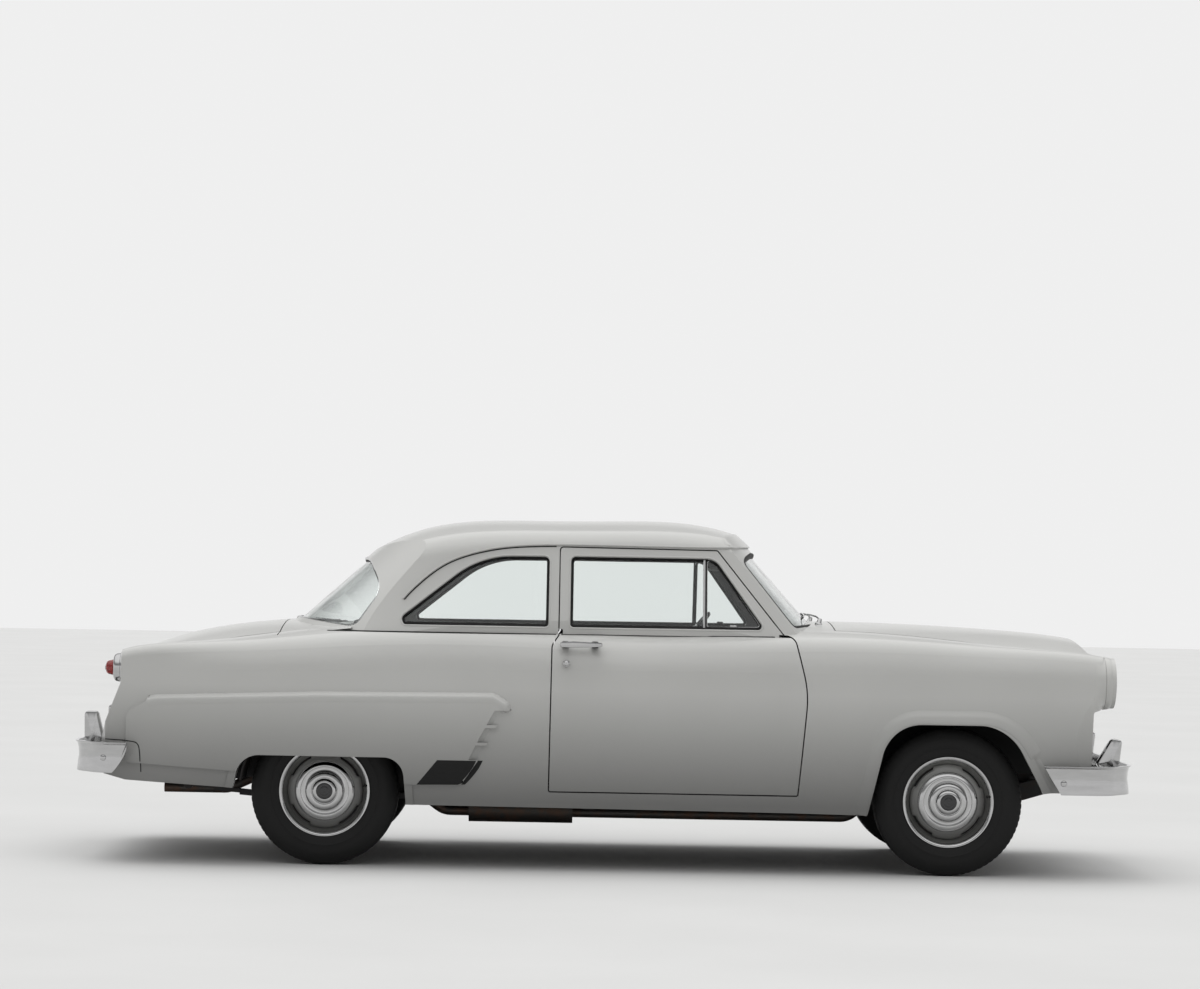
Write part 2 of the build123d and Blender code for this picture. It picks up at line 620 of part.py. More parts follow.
def grille():
    """Bowed main bar with a centre boss and a fin at each end."""
    half, (deep, tall) = GRILLE_HALF, GRILLE_BAR
    front, back = GRILLE_X, GRILLE_X - deep
    outer = ThreePointArc((front - GRILLE_BOW, -half), (front, 0), (front - GRILLE_BOW, half))
    inner = ThreePointArc((back - GRILLE_BOW, half), (back, 0), (back - GRILLE_BOW, -half))
    sides = [Line(outer @ 1, inner @ 0), Line(inner @ 1, outer @ 0)]
    rail = extrude(Plane.XY.offset(GRILLE_Z - tall / 2) * make_face([outer, inner] + sides), tall)
    nose = Plane(origin=(GRILLE_X - 40, 0, GRILLE_Z), z_dir=(1, 0, 0))
    boss = nose * loft([
        Circle(GRILLE_BOSS), Pos(0, 0, 46) * Circle(GRILLE_BOSS - 14), Pos(0, 0, 70) * Circle(GRILLE_BOSS - 52),
    ])
    fin, fin_y, fin_rise = 12.0, half - 58, GRILLE_RISE - 10
    fins = [
        block(front - 70, front - 18, s * fin_y, s * (fin_y + fin), GRILLE_Z - fin_rise, GRILLE_Z + fin_rise)
        for s in (-1, 1)
    ]
    return joined([rail, boss] + fins)


def blade_plan(face_x, end_x, half, way):
    """Plan outline of a wrapped bumper's outer side."""
    left = [(end_x, half, 0), (face_x - way * 150, half, 110), (face_x - way * 20, half - 190, 240)]
    return corners(left + [(x, -y, radius) for x, y, radius in reversed(left)])


def bumper(size, bands, guard, iron_x, iron_y, iron_z):
    """Wrapped blade in stacked bands, with two guards and its irons to the frame."""
    face_x, end_x, half = size["face"], size["end"], size["half"]
    way = 1 if face_x > 0 else -1
    parts = []
    for low, high, proud in bands:
        outer = blade_plan(face_x + way * proud, end_x, half + proud, way)
        inset = proud - BUMPER_SHEET
        inner = blade_plan(face_x + way * inset, end_x - way, half + inset, way)
        parts.append(extrude(Plane.XY.offset(low) * (outer - inner), high - low))
    for side in (-1, 1):
        y = side * GUARD_Y
        parts.append(side_prism(drawn(guard), y - GUARD_HALF, y + GUARD_HALF))
        y = side * iron_y
        parts.append(block(iron_x, face_x - way * 30, y - IRON_HALF, y + IRON_HALF, *iron_z))
    return joined(parts)


def front_bumper():
    rail_y = sum(NOSE_RAIL_Y) / 2
    return bumper(FRONT_BUMPER, FRONT_BANDS, FRONT_GUARD, NOSE_RAIL_END_X, rail_y, (424, 462))


def rear_bumper():
    rail_y = sum(RAIL_Y) / 2
    return bumper(REAR_BUMPER, REAR_BANDS, REAR_GUARD, TAIL_RAIL_X, rail_y, (430, 468))


# Wheels

def around_hub(rows, hub_x, hub_y):
    """Revolve rows of (outward, radius) about a left wheel's axle."""
    points = [(hub_x, hub_y + out, HUB_Z + radius) for out, radius in rows]
    face = make_face(Polyline(*points, close=True))
    return revolve(face, Axis((hub_x, 0, HUB_Z), (0, 1, 0)))


def tyre(x, y):
    """Cross-ply tyre: flat tread, rounded shoulders, bulged wall, bead on the rim."""
    half, rim, top = TYRE_WIDTH / 2, RIM_RADIUS, TYRE_RADIUS
    bead = RIM_WIDTH / 2 - 4.5
    start, flange = (bead, rim), (bead + 3.8, rim + RIM_LIP + 0.5)
    tread = half - 26

    def at(point, side=1):
        return (x, y + side * point[0], HUB_Z + point[1])

    edges = [Line(at(start, -1), at(start)), Line(at((tread, top - 3)), at((20, top))),
             Line(at((20, top)), at((20, top), -1)), Line(at((20, top), -1), at((tread, top - 3), -1))]
    for side in (1, -1):
        wall = (half, rim + 74)
        edges.append(Line(at(start, side), at(flange, side)))
        edges.append(ThreePointArc(at(flange, side), at((half - 4, rim + 42), side), at(wall, side)))
        edges.append(ThreePointArc(at(wall, side), at((half - 9, top - 24), side), at((tread, top - 3), side)))
    return revolve(make_face(edges), Axis((x, 0, HUB_Z), (0, 1, 0)))


def wheel(x, y):
    """Pressed rim and disc, with the brake drum inside and the hub cap outside."""
    half, rim, sheet = RIM_WIDTH / 2, RIM_RADIUS, RIM_SHEET
    bore, lip = SPINDLE_RADIUS + RUNNING_FIT, RIM_RADIUS + RIM_LIP
    well = rim - 22
    rows = (
        (-half, lip), (-half - sheet, lip), (-half - sheet, rim - sheet), (-44, rim - sheet),
        (-30, well - sheet), (8, well - sheet), (30, 158), (36, CAP_RADIUS), (30, 100), (4, 70),
        (4, DRUM_RADIUS), (-DRUM_WIDTH, DRUM_RADIUS), (-DRUM_WIDTH, DRUM_RADIUS - DRUM_SHEET),
        (-12, DRUM_RADIUS - DRUM_SHEET), (-12, HUB_RADIUS), (-30, HUB_RADIUS), (-30, bore),
        (30, bore), (30, 0), (96, 0), (95, 24), (86, 40), (74, 52), (68, 66), (70, 88), (62, 110),
        (50, CAP_RADIUS - 6), (42, CAP_RADIUS), (38, 160), (16, well), (14, well),
        (half - 12, rim - sheet - 4), (half - 2, rim - 2), (half + sheet, lip), (half, lip),
        (half - 4, rim), (40, rim), (24, well), (-26, well), (-40, rim), (4 - half, rim),
    )
    return around_hub(rows, x, y)


# Running gear

def knuckle():
    """Steering knuckle: upright with kingpin ends, spindle and rear steering arm."""
    x, wheel_y = FRONT_AXLE_X, FRONT_TRACK / 2
    y = wheel_y - KINGPIN_INSET
    post = bar((x, y, HUB_Z - 62), (x, y, HUB_Z + 62), 20)
    pin = bar((x, y, HUB_Z - KINGPIN_REACH), (x, y, HUB_Z + KINGPIN_REACH), KINGPIN_RADIUS)
    spindle = bar((x, y, HUB_Z), (x, wheel_y + HUB_HALF - 4, HUB_Z), SPINDLE_RADIUS)
    plate = bar((x, y + 22, HUB_Z), (x, y + 34, HUB_Z), 52)
    arm = block(x - ARM_LENGTH - 14, x + 4, y - 30, y - 8, HUB_Z - ARM_DROP, HUB_Z - ARM_DROP + 18)
    return joined([post, pin, spindle, plate, arm])


def tie_rod():
    """Track rod below the two steering arms, with a cup under each arm's end."""
    x, y = FRONT_AXLE_X - ARM_LENGTH, FRONT_TRACK / 2 - KINGPIN_INSET - 19
    z = HUB_Z - ARM_DROP - 20
    cups = [Pos(x, s * y, z + 2) * Cylinder(TIE_ROD_RADIUS + 6, 18) for s in (-1, 1)]
    return joined([bar((x, -y, z), (x, y, z), TIE_ROD_RADIUS)] + cups)


def front_suspension():
    """Cross member, spring towers and the two pairs of arms that hold the kingpins."""
    x, pin_y = FRONT_AXLE_X, FRONT_TRACK / 2 - KINGPIN_INSET
    rail_y, tower = NOSE_RAIL_Y[1], 22.0
    low, high, thick = HUB_Z - 90, HUB_Z + 74, 16.0
    parts = [block(x - 70, x + 70, -rail_y - tower, rail_y + tower, RAIL_UNDER_Z - 90, RAIL_UNDER_Z)]
    for side in (-1, 1):
        parts.append(block(x - 60, x + 60, side * rail_y, side * (rail_y + tower), low, high + 30))
        parts.append(block(x - 40, x + 40, side * 140, side * 200, RAIL_UNDER_Z, ENGINE_Z[0]))
        for z in (low, high):
            arm = block(x - 24, x + 24, side * (rail_y + 10), side * pin_y, z, z + thick)
            eye = Pos(x, side * pin_y, z + thick / 2) * Cylinder(30, thick)
            hole = Pos(x, side * pin_y, z + thick / 2) * Cylinder(KINGPIN_RADIUS + RUNNING_FIT, 2 * thick)
            parts.append((arm + eye) - hole)
    return joined(parts)


def leaf_spring(y):
    """Stack of leaves with rolled eyes, clamped to the axle, hung from the rail."""
    x, low, camber, sweep_radius = REAR_AXLE_X, HUB_Z - 57, 0.085, 1500
    parts = []
    for i, reach in enumerate(LEAF_REACHES):
        z, rise = low - i * LEAF, reach * camber
        rows = (
            (x - reach, z + rise, 0), (x, z, sweep_radius), (x + reach, z + rise, 0),
            (x + reach, z + rise + LEAF, 0), (x, z + LEAF, sweep_radius), (x - reach, z + rise + LEAF, 0),
        )
        parts.append(side_prism(rows, y - SPRING_HALF, y + SPRING_HALF))
    eye_z, wide, eye_radius = HUB_Z + 7, SPRING_EYE_HALF, 22
    for s in (-1, 1):
        eye_x = x + s * SPRING_EYE_X
        parts.append(bar((eye_x, y - wide, eye_z), (eye_x, y + wide, eye_z), eye_radius))
    parts.append(block(x - SPRING_EYE_X - 12, x - SPRING_EYE_X + 12, y - wide, y + wide, eye_z, eye_z + 86))
    parts.append(block(x - 60, x + 60, y - wide, y + wide, low - 32, HUB_Z - 20))
    return joined(parts)


def rear_axle():
    """Live axle: tubes, round gear case, half shafts, drive shaft and leaf springs."""
    half, x, shaft_z = REAR_TRACK / 2, REAR_AXLE_X, HUB_Z - SHAFT_DROP
    drum_inside = DRUM_WIDTH + 13
    return joined([
        bar((x, drum_inside - half, HUB_Z), (x, half - drum_inside, HUB_Z), 38),
        bar((x, 4 - half - HUB_HALF, HUB_Z), (x, half + HUB_HALF - 4, HUB_Z), SPINDLE_RADIUS),
        Pos(x, 0, HUB_Z) * Sphere(130),
        bar((x + 60, 0, shaft_z), (x + 230, 0, shaft_z), 56),
        bar((x + 100, 0, shaft_z), (ENGINE_X[0], 0, shaft_z), SHAFT_RADIUS),
        leaf_spring(SPRING_Y), leaf_spring(-SPRING_Y),
    ])


def chassis_frame():
    """Side rails kicked up over the rear axle, joined by cross members."""
    low, top, kick = RAIL_UNDER_Z, FLOOR_Z, TRUNK_FLOOR_Z
    rear_rail = drawn((
        (-2240, 470, 0), (-2240, 400, 0), (-1800, 430, 200), (-1400, 470, 100), (-1180, 470, 150),
        (-930, low, 200), (1060, low, 0), (1060, top, 0), (-900, top, 150), (-1130, kick, 150),
        (-1500, kick, 200), (-1850, 510, 200),
    ))
    front_rail = (
        (980, low, 0), (1900, low, 200), (NOSE_RAIL_END_X, 400, 0), (NOSE_RAIL_END_X, 480, 0),
        (1880, top, 200), (980, top, 0),
    )
    parts = []
    for outline, (y0, y1) in ((rear_rail, RAIL_Y), (front_rail, NOSE_RAIL_Y)):
        parts += [side_prism(outline, y0, y1), side_prism(outline, -y1, -y0)]
    wide, narrow, under = RAIL_Y[1], NOSE_RAIL_Y[1], 262.0
    # Columns: place, underside, depth, half width.
    members = (
        (HITCH_X, 420, 40, wide), (REAR_AXLE_X - 256, 490, 40, wide), (-60, under, low - under, wide),
        (600, under, low - under, wide), (1020, under, low - under, wide), (2190, 410, 50, narrow),
    )
    for x, z, depth, half in members:
        parts.append(block(x - 30, x + 30, -half, half, z, z + depth))
    frame = joined(parts)
    for y in (-HITCH_SPACING / 2, HITCH_SPACING / 2):
        frame = frame - Pos(HITCH_X, y, 440) * Cylinder(HITCH_HOLE, 60)
    return frame


def wheel_well(radius, inner_y):
    """Round space over a left rear wheel, from inner_y out to the body side."""
    x = REAR_AXLE_X
    return bar((x, inner_y, HUB_Z), (x, BODY_HALF - 115, HUB_Z), radius)


def floor_pan():
    """Floor with its toe board, the step up over the axle, trunk floor and wheelhouses."""
    t, toe_x = FLOOR_WALL, FIREWALL_X + 5
    side = drawn((
        (-2220, TRUNK_FLOOR_Z, 0), (-900, TRUNK_FLOOR_Z, 0), (-850, FLOOR_Z, 0), (830, FLOOR_Z, 0),
        (toe_x, TOE_TOP_Z - t, 0), (toe_x, TOE_TOP_Z, 0), (toe_x - 15, TOE_TOP_Z, 0),
        (824, PAN_TOP_Z, 0), (-840, PAN_TOP_Z, 0), (-890, TRUNK_TOP_Z, 0), (-2220, TRUNK_TOP_Z, 0),
    ))
    inner = WHEELHOUSE_Y - 20
    middle = side_prism(side, -inner, inner)
    side_floor = block(REAR_SEAM_X, 824, -FLOOR_HALF, FLOOR_HALF, FLOOR_Z, PAN_TOP_Z)
    rear_floor = block(placed(-840), REAR_SEAM_X, -FLOOR_HALF, FLOOR_HALF, FLOOR_Z, PAN_TOP_Z)
    well = wheel_well(WHEELHOUSE_RADIUS, inner) - wheel_well(WHEELHOUSE_RADIUS - 8, inner + 8)
    well = well & block(TAIL_X, 0, 0, OUT_Y, HUB_Z + 45, SKY_Z)
    return joined([middle, side_floor, rear_floor, well, flipped(well)])


def front_seat():
    half = CABIN_HALF - 95
    return side_prism(FRONT_BENCH, -half, half)


def rear_seat():
    """Rear bench, notched round the wheelhouses."""
    half = CABIN_HALF - 95
    notch = wheel_well(WHEELHOUSE_RADIUS + 4, WHEELHOUSE_Y - 24)
    return side_prism(drawn(REAR_BENCH), -half, half) - notch - flipped(notch)


def dashboard():
    half = CABIN_HALF - 35
    return side_prism(DASHBOARD, -half, half)


def steering_column():
    """Column from behind the wheel to the toe board, with its bracket to the dashboard."""
    hub, foot = Vector(*STEERING_HUB), Vector(*COLUMN_FOOT)
    start = hub + (foot - hub).normalized() * 60
    y, (x0, x1) = STEERING_HUB[1], COLUMN_BRACKET_X
    under_dash = min(z for x, z, radius in DASHBOARD)
    bracket = block(x0, x1, y - 10, y + 10, under_dash - 170, under_dash)
    column = (bar(tuple(start), COLUMN_FOOT, COLUMN_RADIUS) + bracket) - floor_pan() - cowl()
    return column.solids().sort_by(Axis.Z)[-1]


def steering_wheel():
    """Rim, two spokes and boss, square to the column."""
    hub, foot = Vector(*STEERING_HUB), Vector(*COLUMN_FOOT)
    plane = Plane(origin=hub, x_dir=(0, 1, 0), z_dir=hub - foot)
    rim_radius = 11.0
    rim = Torus(STEERING_WHEEL_RADIUS - rim_radius, rim_radius)
    boss = Pos(0, 0, -24) * Cylinder(38, 50)
    spokes = Pos(0, 0, -10) * Box(2 * STEERING_WHEEL_RADIUS - 30, 26, 12)
    return plane * (rim + spokes + boss)


def exhaust():
    """Pipe and silencer on the right, from the engine's side over the axle to its outlet."""
    y, (top_x, top_z), (end_x, end_z), run_z = PIPE_Y, MANIFOLD, OUTLET, 234.0
    arch_z, front_x, rear_x = REAR_PIPE_Z, placed(-760), placed(-1060)
    route = (
        (top_x, top_z), (top_x, run_z), (front_x, run_z), (rear_x, arch_z),
        (placed(-1520), arch_z), (placed(-1800), end_z), (end_x, end_z),
    )
    path = FilletPolyline(*[(x, y, z) for x, z in route], radius=PIPE_BEND)
    pipe = sweep(Plane(origin=path @ 0, z_dir=path % 0) * Circle(PIPE_RADIUS), path=path)
    silencer = bar((-140, y, run_z + 8), (-640, y, run_z + 8), 60)
    flange = bar((top_x, -ENGINE_HALF, top_z - 20), (top_x, y, top_z - 20), PIPE_RADIUS - 2)
    front_hanger = block(-70, -50, y - 6, y + 6, run_z, 262)
    rear_hanger = block(REAR_AXLE_X - 266, REAR_AXLE_X - 246, y - 6, y + 6, arch_z, 490)
    mouth = bar((end_x + OUTLET_LENGTH, y, end_z), (end_x - 1, y, end_z), PIPE_BORE)
    return joined([pipe, silencer, flange, front_hanger, rear_hanger]) - mouth


pieces = {
    "roof": roof(), "cowl": cowl(), "rear_deck": rear_deck(), "trunk_lid": trunk_lid(),
    "tail_panel": tail_panel(), "hood": hood(), "nose_panel": nose_panel(),
    "windscreen": screen_glass(WINDSCREEN, WINDSCREEN_WINDOW, -1),
    "rear_window": screen_glass(BACKLIGHT, drawn(BACKLIGHT_WINDOW), 1),
    "chassis_frame": chassis_frame(), "floor_pan": floor_pan(), "front_seat": front_seat(),
    "rear_seat": rear_seat(), "dashboard": dashboard(), "steering_column": steering_column(),
    "steering_wheel": steering_wheel(), "front_suspension": front_suspension(),
    "rear_axle": rear_axle(), "tie_rod": tie_rod(), "exhaust": exhaust(),
    "front_bumper": front_bumper(), "rear_bumper": rear_bumper(), "grille": grille(),
    "engine": block(*ENGINE_X, -ENGINE_HALF, ENGINE_HALF, *ENGINE_Z),
    "radiator": block(*RADIATOR_X, -NOSE_RAIL_Y[0], NOSE_RAIL_Y[0], *RADIATOR_Z),
    "fuel_tank": block(*TANK_X, *TANK_Y, TRUNK_FLOOR_Z - TANK_DEPTH, TRUNK_FLOOR_Z),
}
one_side = {
    "door": door, "door_glass": door_glass, "quarter_panel": quarter_panel,
    "front_fender": front_fender, "knuckle": knuckle,
}
for name, make in one_side.items():
    piece = make()
    pieces[name + "_left"], pieces[name + "_right"] = piece, flipped(piece)
pairs = {"quarter_windows": quarter_glass, "headlamps": headlamp, "tail_lamps": tail_lamp}
for name, make in pairs.items():
    piece = make()
    pieces[name] = Compound(children=[piece, flipped(piece)])
axles = (("front", FRONT_AXLE_X, FRONT_TRACK), ("rear", REAR_AXLE_X, REAR_TRACK))
for end, x, track in axles:
    for kind, make in (("tyre", tyre), ("wheel", wheel)):
        piece = make(x, track / 2)
        pieces[f"{kind}_{end}_left"], pieces[f"{kind}_{end}_right"] = piece, flipped(piece)

for name, piece in pieces.items():
    export_step(piece, f"parts/{name}.step")
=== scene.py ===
import math

import bmesh
import bpy
from mathutils import Matrix, Vector
from mathutils.bvhtree import BVHTree


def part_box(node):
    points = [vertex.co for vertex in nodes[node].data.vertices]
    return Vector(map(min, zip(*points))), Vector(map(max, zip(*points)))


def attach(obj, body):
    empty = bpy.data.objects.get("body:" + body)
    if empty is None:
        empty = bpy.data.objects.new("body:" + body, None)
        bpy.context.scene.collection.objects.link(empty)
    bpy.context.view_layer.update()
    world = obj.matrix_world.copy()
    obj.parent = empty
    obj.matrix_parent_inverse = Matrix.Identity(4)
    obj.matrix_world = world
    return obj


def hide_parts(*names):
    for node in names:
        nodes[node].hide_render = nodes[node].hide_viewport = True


# A two-door sedan of the early 1950s. Lengths in this script are millimetres,
# +X forward, +Y to the car's left, +Z up, and MM turns them into Blender's metres.
MM = 0.001

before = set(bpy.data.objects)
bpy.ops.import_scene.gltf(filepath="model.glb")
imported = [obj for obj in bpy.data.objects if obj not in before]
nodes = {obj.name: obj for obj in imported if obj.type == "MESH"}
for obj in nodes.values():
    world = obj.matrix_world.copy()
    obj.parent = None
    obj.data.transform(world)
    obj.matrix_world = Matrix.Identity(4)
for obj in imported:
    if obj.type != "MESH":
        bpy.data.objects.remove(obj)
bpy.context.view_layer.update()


def node_box(name):
    """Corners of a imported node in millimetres."""
    low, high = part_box(name)
    return low / MM, high / MM


def node_middle(name):
    low, high = node_box(name)
    return (low + high) / 2


def new_object(name, data):
    made = bpy.data.objects.new(name, data)
    bpy.context.scene.collection.objects.link(made)
    return made


def set_sockets(node, sockets):
    """Plain values on a node's sockets, whose names come with underscores."""
    for socket, value in sockets.items():
        node.inputs[socket.replace("_", " ")].default_value = value
    return node


def add_node(tree, kind, **sockets):
    return set_sockets(tree.nodes.new("ShaderNode" + kind), sockets)


# Camera, lights and floor. The camera's place, lens and sensor are in millimetres, its
# roll in degrees, and the reaches in metres.

PHOTO_WIDTH, PHOTO_HEIGHT = 1200, 989
PRINCIPAL_PIXEL = (575.0, 577.0)
CAMERA_PLACE = (-148.0, -16830.0, 1370.0)
CAMERA_FOCAL = 102.7
CAMERA_SENSOR = 36.0
CAMERA_ROLL = 1.03
CAMERA_REACH = 200.0
FLOOR_REACH = 60.0
FILL_STRENGTH = 0.76

# Greys by height, from the horizon at 0 to overhead at 1
LIGHT_LEVELS = ((0.0, 0.16), (0.12, 0.34), (0.4, 0.98), (1.0, 1.75))
BACKDROP_LEVELS = ((0.0, 0.865), (0.2, 0.865), (0.28, 0.3), (0.45, 0.34), (0.65, 1.1), (1.0, 1.3))


def make_camera():
    """The photograph's view: square to the right side, with its slight roll."""
    data = bpy.data.cameras.new("camera")
    data.lens = CAMERA_FOCAL
    data.sensor_width = CAMERA_SENSOR
    data.shift_x = (PHOTO_WIDTH / 2 - PRINCIPAL_PIXEL[0]) / PHOTO_WIDTH
    data.shift_y = (PRINCIPAL_PIXEL[1] - PHOTO_HEIGHT / 2) / PHOTO_WIDTH
    data.clip_end = CAMERA_REACH
    camera = new_object("camera", data)
    level = Matrix.Rotation(math.radians(90), 4, "X")
    roll = Matrix.Rotation(math.radians(CAMERA_ROLL), 4, "Z")
    camera.matrix_world = Matrix.Translation(Vector(CAMERA_PLACE) * MM) @ level @ roll
    bpy.context.scene.camera = camera


def soft_sun(name, came_from, strength, spread):
    """Wide lamp that lights the floor evenly, with no hard-edged disc in the paint and glass."""
    data = bpy.data.lights.new(name, "SUN")
    data.energy = strength
    data.angle = math.radians(spread)
    light = new_object(name, data)
    light.rotation_euler = Vector(came_from).to_track_quat("Z", "Y").to_euler()
    light.visible_glossy = False


def sky_ramp(tree, height, levels):
    """Grey that changes with height."""
    sky = add_node(tree, "ValToRGB")
    stops = sky.color_ramp.elements
    for row in levels[1:-1]:
        stops.new(row[0])
    for stop, (_, level) in zip(stops, levels):
        stop.color = (level, level, level, 1.0)
    tree.links.new(height, sky.inputs["Fac"])
    return sky.outputs["Color"]


def make_world():
    """Soft fill, brighter overhead. Camera, glossy and glass rays see the banded backdrop instead."""
    world = bpy.data.worlds.new("world")
    bpy.context.scene.world = world
    world.use_nodes = True
    tree = world.node_tree
    link = tree.links.new
    parts = add_node(tree, "SeparateXYZ")
    link(add_node(tree, "TexCoord").outputs["Generated"], parts.inputs[0])
    fill = set_sockets(tree.nodes["Background"], {"Strength": FILL_STRENGTH})
    link(sky_ramp(tree, parts.outputs["Z"], LIGHT_LEVELS), fill.inputs["Color"])
    seen = add_node(tree, "Background")
    link(sky_ramp(tree, parts.outputs["Z"], BACKDROP_LEVELS), seen.inputs["Color"])
    rays = add_node(tree, "LightPath")
    seen_by = rays.outputs["Is Camera Ray"]
    for ray in ("Is Glossy Ray", "Is Transmission Ray"):
        either = add_node(tree, "Math")
        either.operation = "MAXIMUM"
        link(seen_by, either.inputs[0])
        link(rays.outputs[ray], either.inputs[1])
        seen_by = either.outputs[0]
    mix = add_node(tree, "MixShader")
    for number, source in enumerate((seen_by, fill.outputs[0], seen.outputs[0])):
        link(source, mix.inputs[number])
    link(mix.outputs[0], tree.nodes["World Output"].inputs["Surface"])


def make_floor():
    """Wide plain floor, kept apart from the car."""
    mesh = bpy.data.meshes.new("floor")
    reach = FLOOR_REACH
    mesh.from_pydata([(-reach, -reach, 0), (reach, -reach, 0), (reach, reach, 0), (-reach, reach, 0)], [],
                     [(0, 1, 2, 3)])
    mesh.materials.append(floor_material())
    floor_piece = new_object("floor", mesh)


# Materials

def shader_of(made):
    return made.node_tree.nodes["Principled BSDF"]


def own_place(tree):
    """The coordinates of the piece itself."""
    return add_node(tree, "TexCoord").outputs["Object"]


def material(name, colour, rough, **sockets):
    """Principled material with plain values on its sockets."""
    made = bpy.data.materials.new(name)
    made.use_nodes = True
    sockets.update(Base_Color=(*colour, 1.0), Roughness=rough)
    set_sockets(shader_of(made), sockets)
    return made


def place_noise(made, scale, detail=4.0, stretch=(1.0, 1.0, 1.0)):
    """Noise that follows the piece's own coordinates."""
    tree = made.node_tree
    mapping = add_node(tree, "Mapping", Scale=stretch)
    grain = add_node(tree, "TexNoise", Scale=scale, Detail=detail)
    tree.links.new(own_place(tree), mapping.inputs["Vector"])
    tree.links.new(mapping.outputs["Vector"], grain.inputs["Vector"])
    return grain.outputs["Fac"]


def tint(made, factor, dark, light, low=0.35, high=0.65):
    """Base colour between two tones by a factor socket."""
    tree = made.node_tree
    ramp = add_node(tree, "ValToRGB")
    for stop, at, colour in zip(ramp.color_ramp.elements, (low, high), (dark, light)):
        stop.position = at
        stop.color = (*colour, 1.0)
    tree.links.new(factor, ramp.inputs["Fac"])
    tree.links.new(ramp.outputs["Color"], shader_of(made).inputs["Base Color"])
    return ramp


def roughen(made, factor, low, high):
    """Roughness between two values by a factor socket."""
    tree = made.node_tree
    span = add_node(tree, "MapRange", To_Min=low, To_Max=high)
    tree.links.new(factor, span.inputs["Value"])
    tree.links.new(span.outputs["Result"], shader_of(made).inputs["Roughness"])


def emboss(made, factor, strength, distance):
    """Bump of the given depth in metres, on top of any bump already there."""
    tree = made.node_tree
    bump = add_node(tree, "Bump", Strength=strength, Distance=distance)
    socket = shader_of(made).inputs["Normal"]
    if socket.links:
        tree.links.new(socket.links[0].from_socket, bump.inputs["Normal"])
    tree.links.new(factor, bump.inputs["Height"])
    tree.links.new(bump.outputs["Normal"], socket)


def height_blend(made, colour_socket, low_z, high_z, low_colour):
    """Mixes a darker tone in below a height: painted shade where less light comes up from the ground."""
    tree = made.node_tree
    parts = add_node(tree, "SeparateXYZ")
    span = add_node(tree, "MapRange", From_Min=high_z * MM, From_Max=low_z * MM)
    mix = add_node(tree, "Mix")
    mix.data_type = "RGBA"
    set_sockets(mix, {"B": (*low_colour, 1.0)})
    tree.links.new(own_place(tree), parts.inputs[0])
    tree.links.new(parts.outputs["Z"], span.inputs["Value"])
    tree.links.new(span.outputs["Result"], mix.inputs["Factor"])
    tree.links.new(colour_socket, mix.inputs["A"])
    tree.links.new(mix.outputs["Result"], shader_of(made).inputs["Base Color"])


def paint_material(name, colour):
    """Pale enamel: faint mottling, a thin clear coat, and painted shade darkening it low down."""
    made = material(name, colour, 0.3, Coat_Weight=0.35, Coat_Roughness=0.12)
    dark = tuple(c * 0.965 for c in colour)
    painted_shade = tuple(c * 0.3 for c in colour)
    ramp = tint(made, place_noise(made, 1.6, 3.0), dark, colour)
    # Darker towards the bottom: painted shade, not dirt
    height_blend(made, ramp.outputs["Color"], SHADE_FULL_Z, SHADE_TOP_Z, painted_shade)
    emboss(made, place_noise(made, 420.0, 2.0), 0.05, 0.0004)
    roughen(made, place_noise(made, 7.0), 0.26, 0.38)
    return made


def chrome_material(name, tone):
    """Plated steel with faint wipe marks."""
    made = material(name, (tone, tone, tone * 1.01), 0.1, Metallic=1.0)
    tint(made, place_noise(made, 24.0, 5.0, (0.4, 0.4, 2.0)), (tone * 0.93,) * 3, (tone,) * 3)
    roughen(made, place_noise(made, 60.0), 0.06, 0.17)
    return made


def glass_material(name, colour):
    """Clear glass with a little haze."""
    made = material(name, colour, 0.0, Transmission_Weight=1.0, IOR=1.45)
    roughen(made, place_noise(made, 9.0, 6.0), 0.0, 0.03)
    return made


def fluted_glass(name, colour):
    """Lamp glass with upright flutes."""
    made = glass_material(name, colour)
    tree = made.node_tree
    wave = add_node(tree, "TexWave", Scale=26.0)
    wave.bands_direction = "Y"
    tree.links.new(own_place(tree), wave.inputs["Vector"])
    emboss(made, wave.outputs["Fac"], 0.8, 0.004)
    return made


def rubber_material(name, tone, depth=0.0004):
    """Matt black rubber or undercoat, with a fine grain of the given depth."""
    made = material(name, (tone, tone, tone), 0.6, Specular_IOR_Level=0.3)
    emboss(made, place_noise(made, 600.0, 3.0), 0.25, depth)
    bloom = place_noise(made, 11.0, 5.0)
    tint(made, bloom, (tone * 0.75,) * 3, (tone * 1.35,) * 3)
    roughen(made, bloom, 0.5, 0.72)
    return made


def metal_material(name, colour, rough, rust=0.0, metallic=0.85):
    """Bare or blacked steel with patches of rust."""
    made = material(name, colour, rough, Metallic=metallic)
    patch = place_noise(made, 18.0, 8.0)
    worn = tuple(c * (1 - rust) + r * rust for c, r in zip(colour, RUST_COLOUR))
    tint(made, patch, colour, worn, 0.45, 0.7)
    roughen(made, patch, rough - 0.1, rough + 0.2)
    emboss(made, place_noise(made, 240.0, 6.0), 0.3, 0.0006)
    return made


def cloth_material(name, dark, light):
    """Ribbed seat cloth: a fine woven bump, two tones of yarn and a soft sheen."""
    made = material(name, light, 0.9, Sheen_Weight=0.35, Sheen_Roughness=0.5)
    tree = made.node_tree
    where = own_place(tree)
    both = add_node(tree, "Math")
    both.operation = "MULTIPLY"
    for number, direction in enumerate("XY"):
        wave = add_node(tree, "TexWave", Scale=220.0, Distortion=1.2)
        wave.bands_direction = direction
        tree.links.new(where, wave.inputs["Vector"])
        tree.links.new(wave.outputs["Fac"], both.inputs[number])
    tint(made, both.outputs[0], dark, light, 0.1, 0.6)
    emboss(made, both.outputs[0], 0.4, 0.0008)
    return made


